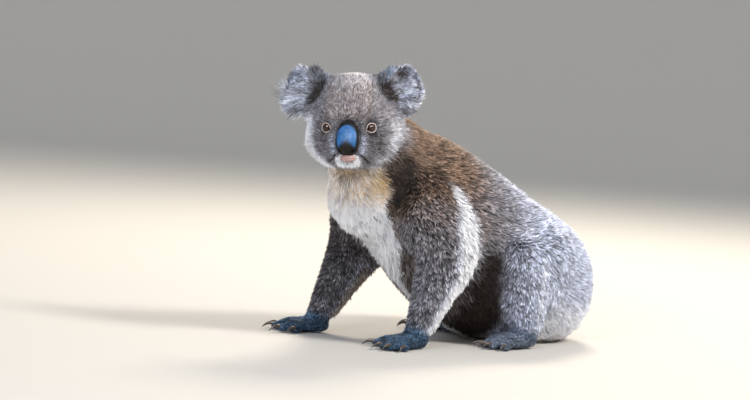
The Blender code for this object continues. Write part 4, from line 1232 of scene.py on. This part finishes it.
# ---------------------------------------------------------------- the stage
class KOALA_OT_stage(bpy.types.Operator):
    """A pale floor, soft studio lights and the camera"""

    bl_idname = "koala.stage"
    bl_label = "Stage"

    def execute(self, context):
        scene, sizes, tints = context.scene, context.scene.koala_stage, context.scene.koala_colours
        new_material("pale_paper", Roughness=0.9, Specular_IOR_Level=0.2, Base_Color=tuple(tints.paper))
        # a round dish: level out to its bend, then a quarter turn up to a wall
        bend, drop = np.linspace(0, math.pi / 2, 24)[1:], 0.0002  # the floor lies a hair lower than the feet
        flat = sizes.floor_radius * np.array([0.08, 0.2, 0.4, 0.7, 1.0])
        far = [*flat, *(sizes.floor_radius + sizes.bend * np.sin(bend)), sizes.floor_radius + sizes.bend]
        high = np.array([*(0 * flat), *(sizes.bend * (1 - np.cos(bend))), sizes.wall]) - drop
        sides, far = 96, np.array(far)[:, None]
        a = round_turn(sides)
        rings = np.stack([far * np.cos(a), far * np.sin(a), high[:, None] + 0 * a], -1)
        points = np.concatenate([rings.reshape(-1, 3), [[0, 0, -drop]]])
        here = np.arange(sides)
        disc = np.stack([np.full(sides, len(points) - 1), here, np.roll(here, -1)], -1)
        floor = shell("floor", points, [disc, woven(len(far), sides)[:-sides, ::-1]], "pale_paper")
        world = bpy.data.worlds.new("studio_air")
        world.use_nodes = True
        world.node_tree.nodes["Background"].inputs["Color"].default_value = tuple(tints.air)
        world.node_tree.nodes["Background"].inputs["Strength"].default_value = 0.55
        scene.view_settings.view_transform = "Standard"
        scene.world = world
        middle = Vector((0.0, 0.0, 0.22))
        lamps = [
            ("key", (2.4, 1.3, 2.8), sizes.key, 0.9, "#fff8ee"),
            ("rim", (-1.6, 1.6, 2.4), sizes.rim, 0.8, "#fff1dc"),
            ("fill", (1.8, -3.0, 1.5), sizes.fill, 0.8, "#eef3ff"),
            ("shine", (1.7, -1.5, 2.4), sizes.shine, 1.2, "#ffffff"),
        ]
        for name, place, power, size, tint in lamps:
            lamp = bpy.data.lights.new(name, "AREA")
            lamp.energy, lamp.size, lamp.color = power, size, linear(tint)[:3]
            ob = bpy.data.objects.new(name, lamp)
            ob.location = place
            ob.rotation_euler = (middle - Vector(place)).to_track_quat("-Z", "Y").to_euler()
            scene.collection.objects.link(ob)
            # the last one is seen only as a shine on the eyes, the nose and the claws
            ob.visible_diffuse = name != "shine"
        around, level = sizes.around, math.cos(sizes.above)
        back = Vector((math.sin(around) * level, -math.cos(around) * level, math.sin(sizes.above)))
        turn = (-back).to_track_quat("-Z", "Y").to_matrix() @ Matrix.Rotation(sizes.roll, 3, "Z")
        camera = bpy.data.objects.new("camera", bpy.data.cameras.new("camera"))
        camera.data.lens, camera.data.sensor_width = sizes.lens, 36
        low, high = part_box("nose")
        aim = (low + high) / 2
        # the nose lies 43 mm to the left of the view's middle and 95 mm above it
        place = aim + back * sizes.away + turn.col[0] * 0.0427 - turn.col[1] * 0.0947
        camera.matrix_world = Matrix.Translation(place) @ turn.to_4x4()
        scene.collection.objects.link(camera)
        scene.camera = camera
        return {"FINISHED"}


# ---------------------------------------------------------------- sizes, colours, panel
def number(name, description, default, unit="LENGTH"):
    """A number that the panel shows."""
    return FloatProperty(name=name, description=description, default=default, unit=unit)


class KoalaSkin(bpy.types.PropertyGroup):
    """Sizes of the skin"""

    voxel: number("Voxel", "Grain of the joined skin", 0.0031)
    overlap: number("Overlap", "Growth of each solid before they are joined", 0.0005)


def tufts(name, description, count):
    """How many tufts a piece of coat has at most."""
    return IntProperty(name=name, description=description, default=count, min=100, max=33000)


class KoalaCoat(bpy.types.PropertyGroup):
    """Sizes and tuft counts of the coat"""

    droop: number("Droop", "Share of its lift that a tuft has lost at its tip", 0.48, "NONE")
    lock_reach: number("Lock reach", "Furthest that a tip moves into its lock", 0.006)
    parting: number("Partings", "Distance between the rows where the wool parts", 0.0085)
    face: tufts("Face", "Tufts on the front of the head", 33000)
    crown: tufts("Crown", "Tufts on the back of the head", 17000)
    neck: tufts("Neck", "Tufts on the neck", 15000)
    ear: tufts("Ear", "Tufts of fuzz on each ear", 6000)
    ear_hair: tufts("Ear hair", "Long hairs on each ear", 3600)
    chest: tufts("Chest", "Tufts on the front of the trunk", 23000)
    back: tufts("Back", "Tufts on the middle of the trunk", 24000)
    rump: tufts("Rump", "Tufts on the rear of the trunk", 24000)
    arm: tufts("Arm", "Tufts on each arm and hand", 22000)
    leg: tufts("Leg", "Tufts on each leg and foot", 22000)


class KoalaFace(bpy.types.PropertyGroup):
    """Sizes of lids and lip"""

    eye_opening: number("Eye opening", "Half width of the lids' opening over the eye's radius", 0.87, "NONE")
    lip_width: number("Lip width", "Width of the bare lip", 0.024)
    lip_height: number("Lip height", "Height of the bare lip", 0.012)


class KoalaStage(bpy.types.PropertyGroup):
    """Sizes, lamps and camera of the stage"""

    floor_radius: number("Floor radius", "Level part of the floor", 5.0)
    bend: number("Bend", "Radius of the bend up to the wall", 2.5)
    wall: number("Wall", "Height of the wall", 4.5)
    key: number("Key", "Power of the main lamp", 120, "POWER")
    rim: number("Rim", "Power of the lamp behind", 85, "POWER")
    fill: number("Fill", "Power of the lamp in front", 36, "POWER")
    shine: number("Shine", "Power of the lamp that eyes and nose reflect", 110, "POWER")
    away: number("Distance", "From the nose to the camera", 4.0)
    around: number("Around", "Camera's way round to the koala's left", math.radians(54), "ROTATION")
    above: number("Above", "Camera's angle above level", math.radians(4), "ROTATION")
    roll: number("Roll", "Camera's roll", math.radians(4), "ROTATION")
    lens: number("Lens", "Focal length in mm", 125.8, "CAMERA")


def colour(name, description, code):
    """A colour property whose default is an sRGB hex value."""
    return FloatVectorProperty(
        name=name, description=description, default=linear(code), size=4, subtype="COLOR"
    )


class KoalaColours(bpy.types.PropertyGroup):
    """Colours of the coat"""

    grey: colour("Grey", "Face and arms", "#8a888f")
    brown: colour("Brown", "Neck, shoulders and upper back", "#836c5c")
    silver: colour("Silver", "Loins and rump", "#c3cbe2")
    white: colour("White", "Chin, chest, cheek edges and trailing edge of the arms", "#f1f4fb")
    # dark also carries painted shade under the belly, over the far arm and at the side of the neck
    dark: colour("Dark", "Ear roots, mouth corners and belly", "#2d231e")
    slate: colour("Slate", "Hands and feet", "#52708f")
    ochre: colour("Ochre", "Throat and the stained hair at the rump", "#c9a877")
    iris: colour("Iris", "Light spokes of the eye", "#5c2d18")
    iris_dark: colour("Iris shade", "Dark spokes of the eye", "#1e0f09")
    lid: colour("Lid", "Bare edge of the lids", "#dccbc4")
    lip: colour("Lip", "Bare skin under the nose", "#cbaeaa")
    claw: colour("Claw", "Points of the claws", "#2c241f")
    claw_root: colour("Claw root", "Roots of the claws", "#5e5146")
    nose: colour("Nose", "Lower part of the nose pad", "#131212")
    # a painted reflection of a blue sky: the real pad is black
    nose_blue: colour("Nose sheen", "Upper part of the nose pad", "#3777bb")
    paper: colour("Paper", "Floor and wall", "#d3d1cd")
    air: colour("Air", "Light from all round", "#e9eef5")


class KOALA_PT_panel(bpy.types.Panel):
    """Lists the steps that make the koala, and its sizes and colours"""

    bl_label = "Sitting koala"
    bl_space_type = "VIEW_3D"
    bl_region_type = "UI"
    bl_category = "Koala"

    def draw(self, context):
        for step in OPERATORS:
            self.layout.operator(step.bl_idname)
        for name, kind in GROUPS.items():
            box = self.layout.box()
            for key in kind.__annotations__:
                box.prop(getattr(context.scene, name), key)


OPERATORS = [
    KOALA_OT_stage, KOALA_OT_skin, KOALA_OT_eyes, KOALA_OT_nose, KOALA_OT_claws, KOALA_OT_coat_head,
    KOALA_OT_coat_ears, KOALA_OT_coat_trunk, KOALA_OT_coat_limbs,
]
GROUPS = {
    "koala_skin": KoalaSkin, "koala_coat": KoalaCoat, "koala_face": KoalaFace, "koala_stage": KoalaStage,
    "koala_colours": KoalaColours,
}
CLASSES = [*GROUPS.values(), *OPERATORS, KOALA_PT_panel]


def register():
    """Adds the classes, and the sizes and colours to the scene."""
    for kind in CLASSES:
        bpy.utils.register_class(kind)
    for name, kind in GROUPS.items():
        setattr(bpy.types.Scene, name, PointerProperty(type=kind))


def unregister():
    """Takes them out again."""
    for name in GROUPS:
        delattr(bpy.types.Scene, name)
    for kind in reversed(CLASSES):
        bpy.utils.unregister_class(kind)


def main():
    """Makes every piece in order."""
    register()
    for step in OPERATORS:
        getattr(bpy.ops.koala, step.bl_idname.split(".")[1])()


if __name__ == "__main__":
    main()
